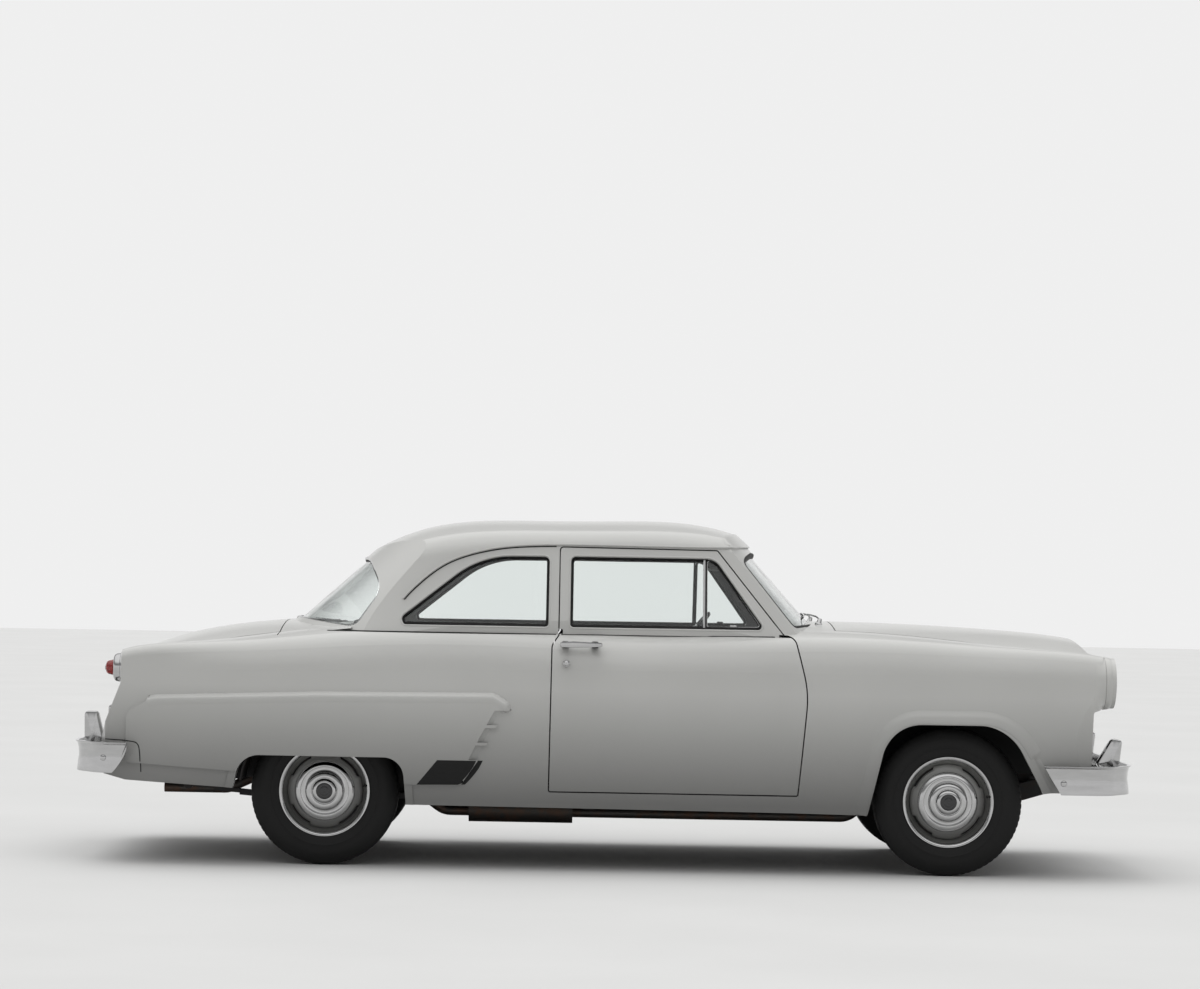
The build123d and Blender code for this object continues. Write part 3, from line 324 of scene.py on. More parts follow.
def vinyl_material(name, colour):
    """Grained vinyl."""
    made = material(name, colour, 0.45, Coat_Weight=0.1, Coat_Roughness=0.4)
    tree = made.node_tree
    cells = add_node(tree, "TexVoronoi", Scale=420.0)
    tree.links.new(own_place(tree), cells.inputs["Vector"])
    emboss(made, cells.outputs["Distance"], 0.35, 0.0005)
    tint(made, place_noise(made, 5.0), tuple(c * 0.85 for c in colour), colour)
    return made


def lens_material(name, colour):
    """Coloured lamp glass."""
    made = material(name, colour, 0.08, Transmission_Weight=0.55, IOR=1.5, Coat_Weight=0.5)
    tint(made, place_noise(made, 90.0, 3.0), tuple(c * 0.7 for c in colour), colour)
    return made


def floor_material():
    """Plain pale concrete."""
    made = material("floor_concrete", (0.54, 0.54, 0.535), 0.85)
    tint(made, place_noise(made, 0.7, 8.0), (0.53, 0.53, 0.525), (0.55, 0.55, 0.545))
    emboss(made, place_noise(made, 70.0, 6.0), 0.15, 0.002)
    return made


BODY_COLOUR = (0.475, 0.475, 0.46)
RUST_COLOUR = (0.16, 0.075, 0.04)
# Heights where the paint's painted shade is full and where it fades out
SHADE_FULL_Z, SHADE_TOP_Z = 320.0, 840.0
PAINT = paint_material("paint", BODY_COLOUR)
WHEEL_PAINT = paint_material("wheel_paint", (0.36, 0.36, 0.345))
CHROME = chrome_material("chrome", 0.5)
GLASS = glass_material("window_glass", (0.93, 0.96, 0.95))
FLUTED = fluted_glass("fluted_lens", (0.97, 0.97, 0.97))
RED_LENS = lens_material("red_lens", (0.45, 0.012, 0.01))
RUBBER = rubber_material("rubber", 0.008)
# Black tyre rubber, toned darker than real rubber as painted shade under the fenders
TYRE = rubber_material("tyre_rubber", 0.0045)
SHIELD = rubber_material("stone_shield", 0.004)
UNDERCOAT = rubber_material("undercoat", 0.008, 0.002)
BLACK = material("enamel_black", (0.01, 0.01, 0.011), 0.25, Coat_Weight=0.4)
CHASSIS = metal_material("chassis_black", (0.014, 0.014, 0.0145), 0.6, 0.12, 0.1)
IRON = metal_material("engine_iron", (0.09, 0.1, 0.1), 0.6, 0.3, 0.3)
STEEL = metal_material("exhaust_steel", (0.07, 0.065, 0.06), 0.5, 0.5)
TANK = metal_material("tank_plate", (0.2, 0.2, 0.2), 0.5, 0.2)
CLOTH = cloth_material("seat_cloth", (0.05, 0.052, 0.055), (0.17, 0.175, 0.18))
VINYL = vinyl_material("seat_vinyl", (0.2, 0.2, 0.195))
DASH_PAINT = vinyl_material("dash_paint", (0.12, 0.12, 0.118))
LINER = cloth_material("headliner", (0.25, 0.25, 0.238), (0.28, 0.28, 0.267))
CARPET = cloth_material("floor_carpet", (0.02, 0.021, 0.022), (0.045, 0.046, 0.048))
PLASTIC = material("wheel_rim_plastic", (0.03, 0.03, 0.031), 0.22, Coat_Weight=0.3)
DIAL = material("dial_face", (0.55, 0.55, 0.5), 0.5)
PLATE = material("blank_plate", (0.36, 0.37, 0.36), 0.4, Coat_Weight=0.3)
for plain in (BLACK, PLASTIC, DIAL, PLATE):
    emboss(plain, place_noise(plain, 300.0), 0.08, 0.0003)


# Mesh building

def rounded(rows, closed=True, steps=8):
    """Outline points from rows of (a, b, corner radius), corners as arcs."""
    points, count = [], len(rows)
    for i, (a, b, radius) in enumerate(rows):
        here = Vector((a, b))
        if radius == 0 or (not closed and i in (0, count - 1)):
            points.append(here)
            continue
        back = (Vector(rows[i - 1][:2]) - here).normalized()
        ahead = (Vector(rows[(i + 1) % count][:2]) - here).normalized()
        half = math.acos(max(-1, min(1, back.dot(ahead)))) / 2
        reach = radius / math.tan(half)
        centre = here + (back + ahead).normalized() * (radius / math.sin(half))
        start, finish = here + back * reach - centre, here + ahead * reach - centre
        turn = start.angle_signed(finish)
        for k in range(steps + 1):
            points.append(centre + Matrix.Rotation(-turn * k / steps, 2) @ start)
    return points


def spaced(points, step, closed=False):
    """A line's points at even spacing."""
    line = list(points) + ([points[0]] if closed else [])
    lengths = [0.0]
    for a, b in zip(line, line[1:]):
        lengths.append(lengths[-1] + (b - a).length)
    total = lengths[-1]
    count = max(2, round(total / step))
    made, k = [], 0
    for i in range(count if closed else count + 1):
        at = total * i / count
        while k < len(line) - 2 and lengths[k + 1] < at:
            k += 1
        span = lengths[k + 1] - lengths[k]
        made.append(line[k].lerp(line[k + 1], (at - lengths[k]) / span if span else 0.0))
    return made


def rounded_box(x0, z0, x1, z1, radius, steps=8):
    return rounded([(x0, z0, radius), (x1, z0, radius), (x1, z1, radius), (x0, z1, radius)], True, steps)


def weld(mesh, reach):
    """Merges the points that meet and turns the faces outwards."""
    work = bmesh.new()
    work.from_mesh(mesh)
    bmesh.ops.remove_doubles(work, verts=work.verts, dist=reach * MM)
    bmesh.ops.recalc_face_normals(work, faces=work.faces)
    work.to_mesh(mesh)
    work.free()


def heading(line, i):
    """Direction of an open line at its point number i."""
    return (line[min(i + 1, len(line) - 1)] - line[max(i - 1, 0)]).normalized()


def circle(radius, count):
    turns = [math.tau * k / count for k in range(count)]
    return [(radius * math.cos(turn), radius * math.sin(turn)) for turn in turns]


class Shape:
    """Points and faces of one piece, each face with the number of its material."""

    def __init__(self):
        self.points, self.faces, self.kinds = [], [], []

    def sheet(self, rows, kind=0, close_rows=False, close_columns=False):
        """Quads between rows of points."""
        start, wide, tall = len(self.points), len(rows[0]), len(rows)
        for row in rows:
            self.points += [Vector(p) for p in row]
        for i in range(tall if close_rows else tall - 1):
            for j in range(wide if close_columns else wide - 1):
                a, b = start + i * wide, start + (i + 1) % tall * wide
                j2 = (j + 1) % wide
                self.faces.append((a + j, a + j2, b + j2, b + j))
                self.kinds.append(kind)
        return self

    def cap(self, loop, kind=0):
        """Fan that closes a loop."""
        start = len(self.points)
        self.points += [Vector(p) for p in loop]
        self.points.append(sum((Vector(p) for p in loop), Vector()) / len(loop))
        for i in range(len(loop)):
            self.faces.append((start + i, start + (i + 1) % len(loop), start + len(loop)))
            self.kinds.append(kind)
        return self

    def revolve(self, rows, centre, axis, kind, steps):
        """Rows of (along, radius) turned about an axis through centre."""
        axis = Vector(axis).normalized()
        side = axis.orthogonal().normalized()
        up = axis.cross(side)
        centre = Vector(centre)
        made = []
        for i in range(steps):
            turn = math.tau * i / steps
            out = side * math.cos(turn) + up * math.sin(turn)
            made.append([centre + axis * along + out * radius for along, radius in rows])
        return self.sheet(made, kind, close_rows=True)

    def turned(self, centre, axis, *parts):
        """Revolved parts on one axis, each with its rows, material number and steps."""
        for rows, kind, steps in parts:
            self.revolve(rows, centre, axis, kind, steps)
        return self

    def sweep(self, path, section, normals, kind=0, closed=False):
        """Section rows (out, across) drawn along a path with its outward normals."""
        made, count = [], len(path)
        for i, here in enumerate(path):
            after = path[(i + 1) % count] if closed or i < count - 1 else here
            before = path[i - 1] if closed or i > 0 else here
            along = (after - before).normalized()
            normal = Vector(normals[i])
            normal = (normal - along * normal.dot(along)).normalized()
            across = along.cross(normal)
            made.append([here + normal * out + across * side for out, side in section])
        self.sheet(made, kind, close_rows=closed, close_columns=True)
        return self if closed else self.cap(made[0], kind).cap(made[-1], kind)

    def tube(self, path, radius, kind, sides):
        """Round bar along a path."""
        path = [Vector(p) for p in path]
        up = Vector((0, 0, 1)) if abs((path[1] - path[0]).normalized().z) < 0.9 else Vector((1, 0, 0))
        normals = []
        for i in range(len(path)):
            along = heading(path, i)
            up = (up - along * up.dot(along)).normalized()
            normals.append(up.copy())
        return self.sweep(path, circle(radius, sides), normals, kind)

    def pillow(self, outline, centre_y, half, edge, kind=0):
        """Side view outline given width across the car, with softened edges."""
        count = len(outline)
        inward = []
        area = sum(a.cross(b) for a, b in zip(outline, outline[1:] + outline[:1]))
        for i in range(count):
            along = (outline[(i + 1) % count] - outline[i - 1]).normalized()
            inward.append(Vector((-along.y, along.x)) * (1 if area > 0 else -1))
        rings = []
        for across, inset in ((-1, 1), (-0.94, 0.4), (-0.8, 0.1), (-0.4, 0),
                              (0.4, 0), (0.8, 0.1), (0.94, 0.4), (1, 1)):
            ring = [p + n * inset * edge for p, n in zip(outline, inward)]
            rings.append([(p.x, centre_y + across * half, p.y) for p in ring])
        self.sheet(rings, kind, close_columns=True)
        return self.cap(rings[0], kind).cap(rings[-1], kind)

    def block(self, low, high, edge, kind=0):
        """Box with softened edges."""
        x0, z0, x1, z1 = low[0], low[2], high[0], high[2]
        outline = rounded_box(x0, z0, x1, z1, edge, 3)
        return self.pillow(outline, (low[1] + high[1]) / 2, abs(high[1] - low[1]) / 2, edge, kind)

    def slab(self, loop, offset, kind=0):
        """Plate between a flat loop and the same loop moved by offset."""
        near = [Vector(p) for p in loop]
        far = [p + Vector(offset) for p in near]
        self.sheet([near, far], kind, close_columns=True)
        return self.cap(near, kind).cap(far, kind)

    def mirrored(self):
        """The same points on the other side of the car."""
        twin = Shape()
        twin.points = [Vector((p.x, -p.y, p.z)) for p in self.points]
        twin.faces = [tuple(reversed(face)) for face in self.faces]
        twin.kinds = list(self.kinds)
        return twin

    def piece(self, name, body, slot, materials, stands_for=(), crease=35.0):
        """The Blender object, riding its body."""
        mesh = bpy.data.meshes.new(name)
        mesh.from_pydata([p * MM for p in self.points], [], self.faces)
        for made in materials:
            mesh.materials.append(made)
        mesh.polygons.foreach_set("material_index", self.kinds)
        weld(mesh, 0.02)
        mesh.shade_smooth()
        mesh.set_sharp_from_angle(angle=math.radians(crease))
        made = new_object(name, mesh)
        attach(made, body)
        if stands_for:
            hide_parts(*stands_for)
        return made

    def both_sides(self, name, slot, materials, crease=35.0):
        """The left piece and its mirror image on the right, both on the body."""
        self.piece(name + "_left", "body", slot, materials, (), crease)
        self.mirrored().piece(name + "_right", "body", slot, materials, (), crease)


class Skin:
    """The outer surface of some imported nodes, found by rays from outside."""

    def __init__(self, *names):
        points, faces = [], []
        for name in names:
            mesh = nodes[name].data
            start = len(points)
            points += [v.co / MM for v in mesh.vertices]
            faces += [[start + i for i in face.vertices] for face in mesh.polygons]
        self.tree = BVHTree.FromPolygons(points, faces)

    def beside(self, x, z, side):
        """Point and outward normal where a ray from the side meets the surface."""
        found = self.tree.ray_cast(Vector((x, side * 2000.0, z)), Vector((0, -side, 0)))
        if found[0] is None or found[0].y * side < 200:
            return None
        return found[0], found[1] if found[1].y * side > 0 else -found[1]

    def toward(self, start, way):
        """Point and facing normal where a ray meets the surface, or None."""
        way = Vector(way).normalized()
        found = self.tree.ray_cast(Vector(start), way)
        if found[0] is None:
            return None
        return found[0], found[1] if found[1].dot(way) < 0 else -found[1]

    def above(self, x, y):
        return self.toward((x, y, 3000.0), (0, 0, -1))

    def lay(self, line, side):
        """Side view points laid on the surface: points and normals."""
        hits = [hit for hit in (self.beside(at.x, at.y, side) for at in line) if hit]
        return [point for point, normal in hits], [normal for point, normal in hits]

    def follow(self, line, side, step, closed=False):
        return self.lay(spaced(line, step, closed), side)


def inset(rows, by):
    """Outline rows moved inwards by a distance."""
    made, count = [], len(rows)
    area = sum(rows[i - 1][0] * rows[i][1] - rows[i][0] * rows[i - 1][1] for i in range(count))
    sign = 1 if area > 0 else -1
    for i, (x, z, radius) in enumerate(rows):
        here = Vector((x, z))
        back = (here - Vector(rows[i - 1][:2])).normalized()
        ahead = (Vector(rows[(i + 1) % count][:2]) - here).normalized()
        first, second = Vector((-back.y, back.x)) * sign, Vector((-ahead.y, ahead.x)) * sign
        move = (first + second) / (1 + first.dot(second)) * by
        made.append((x + move.x, z + move.y, max(radius - by, 1.0) if radius else 0))
    return made


def ring(shape, points, normals, section, kind=0):
    """Closed sweep whose section rows are (out, towards the ring's middle)."""
    middle = sum(points, Vector()) / len(points)
    if (points[1] - points[0]).cross(normals[0]).dot(middle - points[0]) < 0:
        points, normals = points[::-1], normals[::-1]
    return shape.sweep(points, section, normals, kind, closed=True)


class Screen:
    """A raked, bowed screen: x = middle + rake * (z - belt) + bow * y squared."""

    def __init__(self, middle, rake, bow, outline, way):
        self.middle, self.rake, self.bow, self.outline, self.way = middle, rake, bow, outline, way

    def point(self, y, z):
        return Vector((self.middle + self.rake * (z - BELT_Z) + self.bow * y * y, y, z))

    def normal(self, y):
        return Vector((1, -2 * self.bow * y, -self.rake)).normalized() * self.way

    def edge(self, outline, step=22.0):
        """The opening's edge all the way round, with outward normals."""
        half = []
        for at in spaced(rounded(outline), 2.0, True):
            square = (at.x - self.rake * (at.y - BELT_Z) - self.middle) / self.bow
            if square >= 0:
                half.append(self.point(math.sqrt(square), at.y))
        start = max(range(len(half)), key=lambda i: (half[i] - half[i - 1]).length)
        half = half[start:] + half[:start]
        other = [Vector((p.x, -p.y, p.z)) for p in reversed(half)]
        points = spaced(half + other, step, True)
        return points, [self.normal(p.y) for p in points]


SIDES = {"left": 1, "right": -1}
FORWARD, BACKWARD = (1, 0, 0), (-1, 0, 0)
BELT_Z = 1100.0
DOOR_WINDOW = ((-167, 1134, 16), (-167, 1468, 22), (512, 1468, 80), (752, 1136, 18))
QUARTER_WINDOW = (
    (-268, 1134, 16), (-268, 1466, 26), (-595, 1464, 430), (-966, 1168, 26), (-948, 1134, 14),
)
WINDSCREEN = Screen(1078.0, -0.90, -2.918e-4, (
    (640, 1460, 30), (888, 1152, 30), (1300, 1180, 0), (1300, 1494, 0), (700, 1494, 0)), 1)
REAR_SCREEN = Screen(-1560.0, 1.12, 7.758e-4, (
    (-1700, 1160, 0), (-1480, 1152, 60), (-1180, 1116, 70), (-1056, 1300, 110),
    (-1136, 1444, 40), (-1700, 1444, 0)), -1)


# Wheels

def zigzag(turn, count):
    """Triangle wave between -1 and 1."""
    phase = turn * count / math.tau % 1.0
    return 4 * abs(phase - 0.5) - 1


def tyre(corner):
    """Black cross-ply tyre: ribbed tread with zigzag grooves and notched shoulders."""
    node = "tyre_" + corner
    low, high = node_box(node)
    centre, radius, half = (low + high) / 2, (high.z - low.z) / 2, (high.y - low.y) / 2
    side = 1 if centre.y > 0 else -1
    bead, steps, groove, pitch, crown = 211.0, 288, 8.0, 22.0, 2.2
    zigzags, swing, notch_depth = 72, 2.2, 3.5
    tread_half = half - 26
    wall = [(half - 21, bead - 8), (half - 15, bead + 2), (half - 8, bead + 14), (half - 3, bead + 34),
            (half - 1, bead + 40), (half + 0.5, bead + 42), (half - 0.5, bead + 45), (half, bead + 64),
            (half - 1, bead + 84), (half - 3, bead + 90), (half - 6, bead + 101),
            (half - 12, radius - 20)]
    shoulder = [(half - 17, radius - 12), (tread_half + 4, radius - 5), (tread_half, radius - 2.5)]
    ribs = []
    for at in (1.5 * pitch, 0.5 * pitch, -0.5 * pitch, -1.5 * pitch):
        for out, drop in ((3.4, 0.4), (2.6, groove), (-2.6, groove), (-3.4, 0.4)):
            ribs.append((at + out, radius - drop - crown * (at / tread_half) ** 2))
    rows = []
    for i in range(steps):
        turn = math.tau * i / steps
        notch = notch_depth if i % 4 == 0 else 0.0
        wave = zigzag(turn, zigzags) * swing
        notched = [(out, r - notch) for out, r in shoulder]
        row = wall + notched + [(out + wave, r) for out, r in ribs]
        row += [(-out, r) for out, r in reversed(wall + notched)]
        rows.append([(centre.x + r * math.cos(turn), centre.y + side * out, centre.z + r * math.sin(turn))
                     for out, r in row])
    Shape().sheet(rows, 0, close_rows=True).piece(
        node + "_tread", "wheel_" + corner, "tyre", [TYRE], [node], 50.0)


def road_wheel(corner):
    """Painted pressed wheel with a bright rim edge and a stepped chrome cap."""
    node = "wheel_" + corner
    middle = node_middle("tyre_" + corner)
    side = 1 if middle.y > 0 else -1
    axis = (0, side, 0)
    rim = [(60, 196), (66, 199), (71, 204), (73, 210), (77, 214), (79, 212), (79, 207), (75, 201),
           (68, 196), (56, 194), (44, 193)]
    ledge = [(44, 193), (38, 188), (30, 181), (22, 178), (16, 177), (14, 172)]
    barrel = [(60, 196), (20, 178), (-20, 178), (-44, 196), (-66, 199), (-72, 212), (-76, 211),
              (-70, 193), (-44, 190), (-24, 172), (14, 172)]
    disc = [(30, 172), (35, 168), (38, 160), (44, 150), (46, 143), (46, 128)]
    backing = [(2, 176), (2, 120), (-10, 118)]
    cap = [(44, 139), (47, 140.5), (50, 139), (54, 133), (60, 124), (62.5, 117), (62, 113.5), (58, 112),
           (56, 106), (56, 98), (58, 93), (66, 91), (73, 88), (78, 82), (81, 74), (82, 66), (81, 62.5),
           (78.5, 61), (78.5, 59), (83, 55), (88, 49), (90.5, 43), (90.5, 39), (88.5, 38)]
    medal = [(88.5, 38), (89.5, 35), (91, 33), (91, 31), (90, 29), (92, 20), (93, 18), (93, 15),
             (92.3, 13), (94, 6), (94.5, 0)]
    hub_back = [(-10, 140), (-58, 142), (-62, 138), (-62, 40), (-60, 0)]
    shape, steps, openings, disc_rim = Shape(), 128, 4, 165
    shape.turned(middle, axis, (rim, 1, steps), (ledge, 0, steps), (barrel, 0, 96), (backing, 3, 96),
                 (cap, 1, steps), (medal, 2, 96), (hub_back, 4, 64))
    rows = []
    for i in range(steps):
        turn = math.tau * i / steps
        out = Vector((math.cos(turn), 0, math.sin(turn)))
        edge = 4.0 if math.cos(openings * turn) > -0.1 else -8.0
        rows.append([middle + Vector(axis) * along + out * (radius + (edge if radius > disc_rim else 0.0))
                     for along, radius in disc])
    shape.sheet(rows, 0, close_rows=True)
    valve_turn, valve_radius, valve_out = math.radians(8), 185, 46
    stem = middle + Vector((valve_radius * math.cos(valve_turn), side * valve_out,
                            valve_radius * math.sin(valve_turn)))
    shape.revolve([(0, 5), (18, 4.5), (24, 3.5), (32, 3.4), (33, 0)], stem, axis, 5, 12)
    shape.piece(node + "_visual", node, "wheel_paint",
                [WHEEL_PAINT, CHROME, BLACK, CHASSIS, IRON, RUBBER], [node], 40.0)


# Bumpers

BEND_BACK, FACE_INSET, END_INSET = 190, 10, 8
GUARD_Y, GUARD_HALF, IRON_HALF, IRON_TALL = 420, 33, 20, 38


def bumper_plan(face_x, end_x, half, way):
    """Plan line of the blade's face, from one wrapped end to the other."""
    left = [(end_x, half, 0), (face_x - way * 150, half, 110), (face_x - way * 20, half - 190, 240)]
    rows = left + [(x, -y, radius) for x, y, radius in reversed(left)]
    return spaced(rounded(rows, False, 14), 16.0)


def bumper(node, way, blade_z, guard, tip_slant, bolt_at, iron):
    """Chrome blade with a lower lip, guards, bolts and irons."""
    low, high = node_box(node)
    bottom, top = blade_z
    end_x, far_x = (low.x, high.x) if way > 0 else (high.x, low.x)
    face_x, half = far_x - way * FACE_INSET, high.y - END_INSET
    turn_x = face_x - way * BEND_BACK
    section = [
        (-24, 0.985), (-14, 1.0), (-6, 0.985), (0, 0.94), (4.5, 0.86), (7.5, 0.74), (8.5, 0.6),
        (8, 0.46), (6, 0.34), (2, 0.25), (-4, 0.2), (-6.5, 0.185), (-6.5, 0.165), (-3, 0.14), (-1, 0.1),
        (-2, 0.045), (-6, 0.0), (-12, 0.0), (-12, 0.03), (-10, 0.16), (-8, 0.3), (-4, 0.5), (-6, 0.74),
        (-12, 0.9), (-22, 0.96),
    ]
    plan = bumper_plan(face_x, end_x, half, way)
    rows = []
    for i, here in enumerate(plan):
        along = heading(plan, i)
        out = Vector((along.y, -along.x)) * way
        row = []
        for proud, level in section:
            at = here + out * proud
            run = (turn_x - at.x) * way
            x = turn_x - way * run * tip_slant(level) if run > 0 else at.x
            row.append((x, at.y, bottom + (top - bottom) * level))
        rows.append(row)
    shape = Shape().sheet(rows, 0, close_columns=True).cap(rows[0], 0).cap(rows[-1], 0)
    bolt_head = [(0, 15), (7, 14.5), (11, 12), (13, 7), (14, 0)]
    iron_end, iron_y, iron_top = iron
    iron_x = sorted((face_x - way * 20, iron_end))
    for side in (1, -1):
        shape.pillow(spaced(rounded(guard, True, 10), 9.0, True), side * GUARD_Y, GUARD_HALF, 11, 0)
        flank = [p for p in plan if p.y * side > half * 0.75]
        near = min(flank, key=lambda p: abs(p.x - bolt_at[0]))
        shape.revolve(bolt_head, (near.x, near.y + side * 2, bolt_at[1]), (0, side, 0), 0, 24)
        shape.block((iron_x[0], side * iron_y - IRON_HALF, iron_top - IRON_TALL),
                    (iron_x[1], side * iron_y + IRON_HALF, iron_top), 4, 1)
    shape.piece(node + "_visual", "body", "chrome", [CHROME, CHASSIS], [node], 32.0)


# Lamps and grille

HEADLAMP_RADIUS, TAIL_LAMP_RADIUS = 95.5, 74


def headlamp_place():
    """Back plane, centre across and centre height of the left headlamp."""
    low, high = node_box("headlamps")
    return low.x, high.y - HEADLAMP_RADIUS, (low.z + high.z) / 2


def headlamps():
    """Fluted sealed lens in a bright ring, over a silvered bowl."""
    back_x, y, z = headlamp_place()
    reach = HEADLAMP_RADIUS
    dome = [(30 + 22 * (1 - (r / reach) ** 2), r) for r in (reach - 5, 80, 64, 48, 32, 16, 0)]
    bowl = [(30, reach - 4), (10, 84), (-4, 60), (-10, 34), (-12, 8), (-12, 0)]
    rim = [(20, reach - 0.5), (38, reach - 0.5), (42, reach - 2.5), (42, reach - 6), (38, reach - 8),
           (30, reach - 9)]
    bulb_cap = [(-12, 9), (14, 8), (20, 0)]
    shape = Shape()
    for side in (1, -1):
        shape.turned((back_x, side * y, z), FORWARD, (dome, 1, 96), (bowl, 2, 64), (rim, 0, 96),
                     (bulb_cap, 0, 24))
    shape.piece("headlamp_lenses", "body", "lamp_glass", [CHROME, FLUTED, CHROME], ["headlamps"])


def tail_lamps():
    """Stepped chrome bezel with a ringed tubular red lens."""
    high = node_box("tail_lamps")[1]
    back_x, y, z = -2238.0, high.y - TAIL_LAMP_RADIUS, high.z - TAIL_LAMP_RADIUS
    bezel = [(0, 74), (24, 74.5), (30, 73), (32, 70), (33, 68), (52, 65), (60, 61), (64, 55), (65, 48),
             (62, 44), (58, 41), (58, 38)]
    lens = [(58, 38)]
    for k in range(6):
        along, radius = 62 + 5.2 * k, 37.5 - 1.1 * k
        lens += [(along, radius), (along + 2.6, radius + 0.6), (along + 3.4, radius - 1.4)]
    lens += [(97, 28), (101, 22), (104, 12), (105, 0)]
    tip = [(96, 13), (106, 12), (107.5, 9), (107.5, 0)]
    shape = Shape()
    for side in (1, -1):
        shape.turned((back_x, side * y, z), BACKWARD, (bezel, 0, 96), (lens, 1, 64), (tip, 0, 32))
    shape.piece("tail_lamp_bezels", "body", "chrome", [CHROME, RED_LENS], ["tail_lamps"])


def grille():
    """Bowed bar with a bullet boss, end fins and a bright disc beside each fin."""
    low, high = node_box("grille")
    half, z = high.y, (low.z + high.z) / 2
    bow, bar_x, boss_x, disc_x, disc_y, fin_y = 46, 2313.0, 2333, 2290, 452, 508
    ys = [half * (k / 30 - 1) for k in range(61)]
    path = [Vector((bar_x - bow * (y / half) ** 2, y, z)) for y in ys]
    upper = [(16.5, 7), (13, 14), (7, 19), (-2, 22), (-10, 23), (-16, 22), (-17, 12)]
    section = [(17, 0)] + upper + [(out, -across) for out, across in reversed(upper)]
    shape = Shape().sweep(path, section, [FORWARD] * len(path), 0)
    boss = [(-40, 72), (-14, 73.5), (-6, 72), (-2, 68), (0, 62), (8, 58), (12, 57), (13, 54), (20, 44),
            (27, 32), (31, 20), (33, 8), (33, 0)]
    dark_ring = [(11, 50.5), (14.5, 50), (15.5, 48.5), (15.5, 46)]
    shape.turned((boss_x, 0, z), FORWARD, (boss, 0, 96), (dark_ring, 1, 96))
    fin = rounded([(2262, z - 96, 12), (2310, z - 84, 14), (2316, z, 120), (2310, z + 84, 14),
                   (2262, z + 96, 12)], True, 6)
    disc = [(-24, 40), (-4, 41), (0, 38), (3, 30), (5, 0)]
    for side in (1, -1):
        shape.pillow(spaced(fin, 10.0, True), side * fin_y, 7, 4, 0)
        shape.revolve(disc, (disc_x, side * disc_y, z), FORWARD, 0, 48)
    shape.piece("grille_bar", "body", "chrome", [CHROME, BLACK], ["grille"])
    grille_lining(half, z)


def grille_lining(half, z):
    """Bright lining round the mouth, laid on the nose panel's edge."""
    nose, tall, margin, near_x = Skin("nose_panel"), 106, 5, 2200
    mouth = rounded([(half, z - tall, 60), (half, z + tall, 60), (-half, z + tall, 60),
                     (-half, z - tall, 60)], True, 10)
    path = []
    for at in spaced(mouth, 16.0, True):
        away = Vector((0, at.x, (at.y - z) * 1.4)).normalized()
        hit = nose.toward((3000, at.x + away.y * margin, at.y + away.z * margin), BACKWARD)
        if hit and hit[0].x > near_x:
            path.append(Vector((hit[0].x, at.x, at.y)))
    lining = [(4, 0), (3, 5), (-2, 7), (-12, 5), (-26, 4), (-26, 1), (-8, -1)]
    Shape().sweep(path, lining, [FORWARD] * len(path), 0, True).piece(
        "grille_mouth_lining", "body", "chrome", [CHROME])


# Body trim

def belt_groove():
    """Dark line under the windows where the cab meets the lower body."""
    section = [(2.2, 3), (3.0, 1.6), (3.0, -1.6), (2.2, -3), (-6, -3), (-6, 3)]
    for name, side in SIDES.items():
        for part, panel, ends, body in (
                ("quarter", "quarter_panel_", ((-1330, 1098), (-232, 1099)), "body"),
                ("door", "door_", ((-208, 1098), (866, 1104)), "door_" + name)):
            line = [Vector(end) for end in ends]
            points, normals = Skin(panel + name, "roof").follow(line, side, 24.0)
            shape = Shape().sweep(points, section, normals)
            shape.piece(f"belt_line_{part}_{name}", body, "paint", [RUBBER])


def softened(line, times=3):
    """An open line with its corners cut again and again."""
    points = [Vector(p) for p in line]
    for _ in range(times):
        cut = [points[0]]
        for a, b in zip(points, points[1:]):
            cut += [a.lerp(b, 0.25), a.lerp(b, 0.75)]
        points = cut + [points[-1]]
    return points


def side_windows():
    """Rolled paint edge and black rubber round each side window."""
    bead = [(-3, -6), (1.0, -5.5), (2.4, -3), (2.2, 0), (0.4, 2.2), (-9, 3.6), (-9, 1.6)]
    seal = [(7, -5.5), (8, -2), (6.5, 4), (2, 7), (-9, 7), (-9, -5.5)]
    for name, side in SIDES.items():
        for part, outline, panel, pane, body in (
                ("door", DOOR_WINDOW, "door_" + name, "door_glass_" + name, "door_" + name),
                ("quarter", QUARTER_WINDOW, "roof", "quarter_windows", "body")):
            for kind, on, by, section, slot, made in (
                    ("bead", panel, -3, bead, "paint", PAINT), ("seal", pane, 6, seal, "tyre", RUBBER)):
                points, normals = Skin(on).follow(rounded(inset(outline, by)), side, 12.0, True)
                ring(Shape(), points, normals, section).piece(
                    f"{part}_window_{kind}_{name}", body, slot, [made])


def vent_windows():
    """Bright division bar and the framed vent pane ahead of it."""
    pane = rounded(((474, 1143, 8), (474, 1459, 14), (512, 1459, 62), (734, 1145, 10)))
    for name, side in SIDES.items():
        skin = Skin("door_glass_" + name)
        line, out = skin.follow([Vector((462, 1140)), Vector((462, 1464))], side, 40.0)
        shape = Shape().sweep(line, [(9, -5), (10, -3), (10, 3), (9, 5), (-8, 5), (-8, -5)], out, 0)
        points, normals = skin.follow(pane, side, 12.0, True)
        ring(shape, points, normals, [(6, -7), (7, -3), (5, 0), (-7, 0), (-7, -7)], 1)
        ring(shape, points, normals, [(5.5, 0), (6.5, 1.2), (6.5, 2.6), (5, 3.6), (-6, 3.6), (-6, 0)], 0)
        catch = skin.beside(600, 1152, side)[0]
        shape.block(catch + Vector((-16, -6, -4)), catch + Vector((16, 6, 4)), 3, 0)
        shape.piece("vent_frame_" + name, "door_" + name, "chrome", [CHROME, RUBBER])


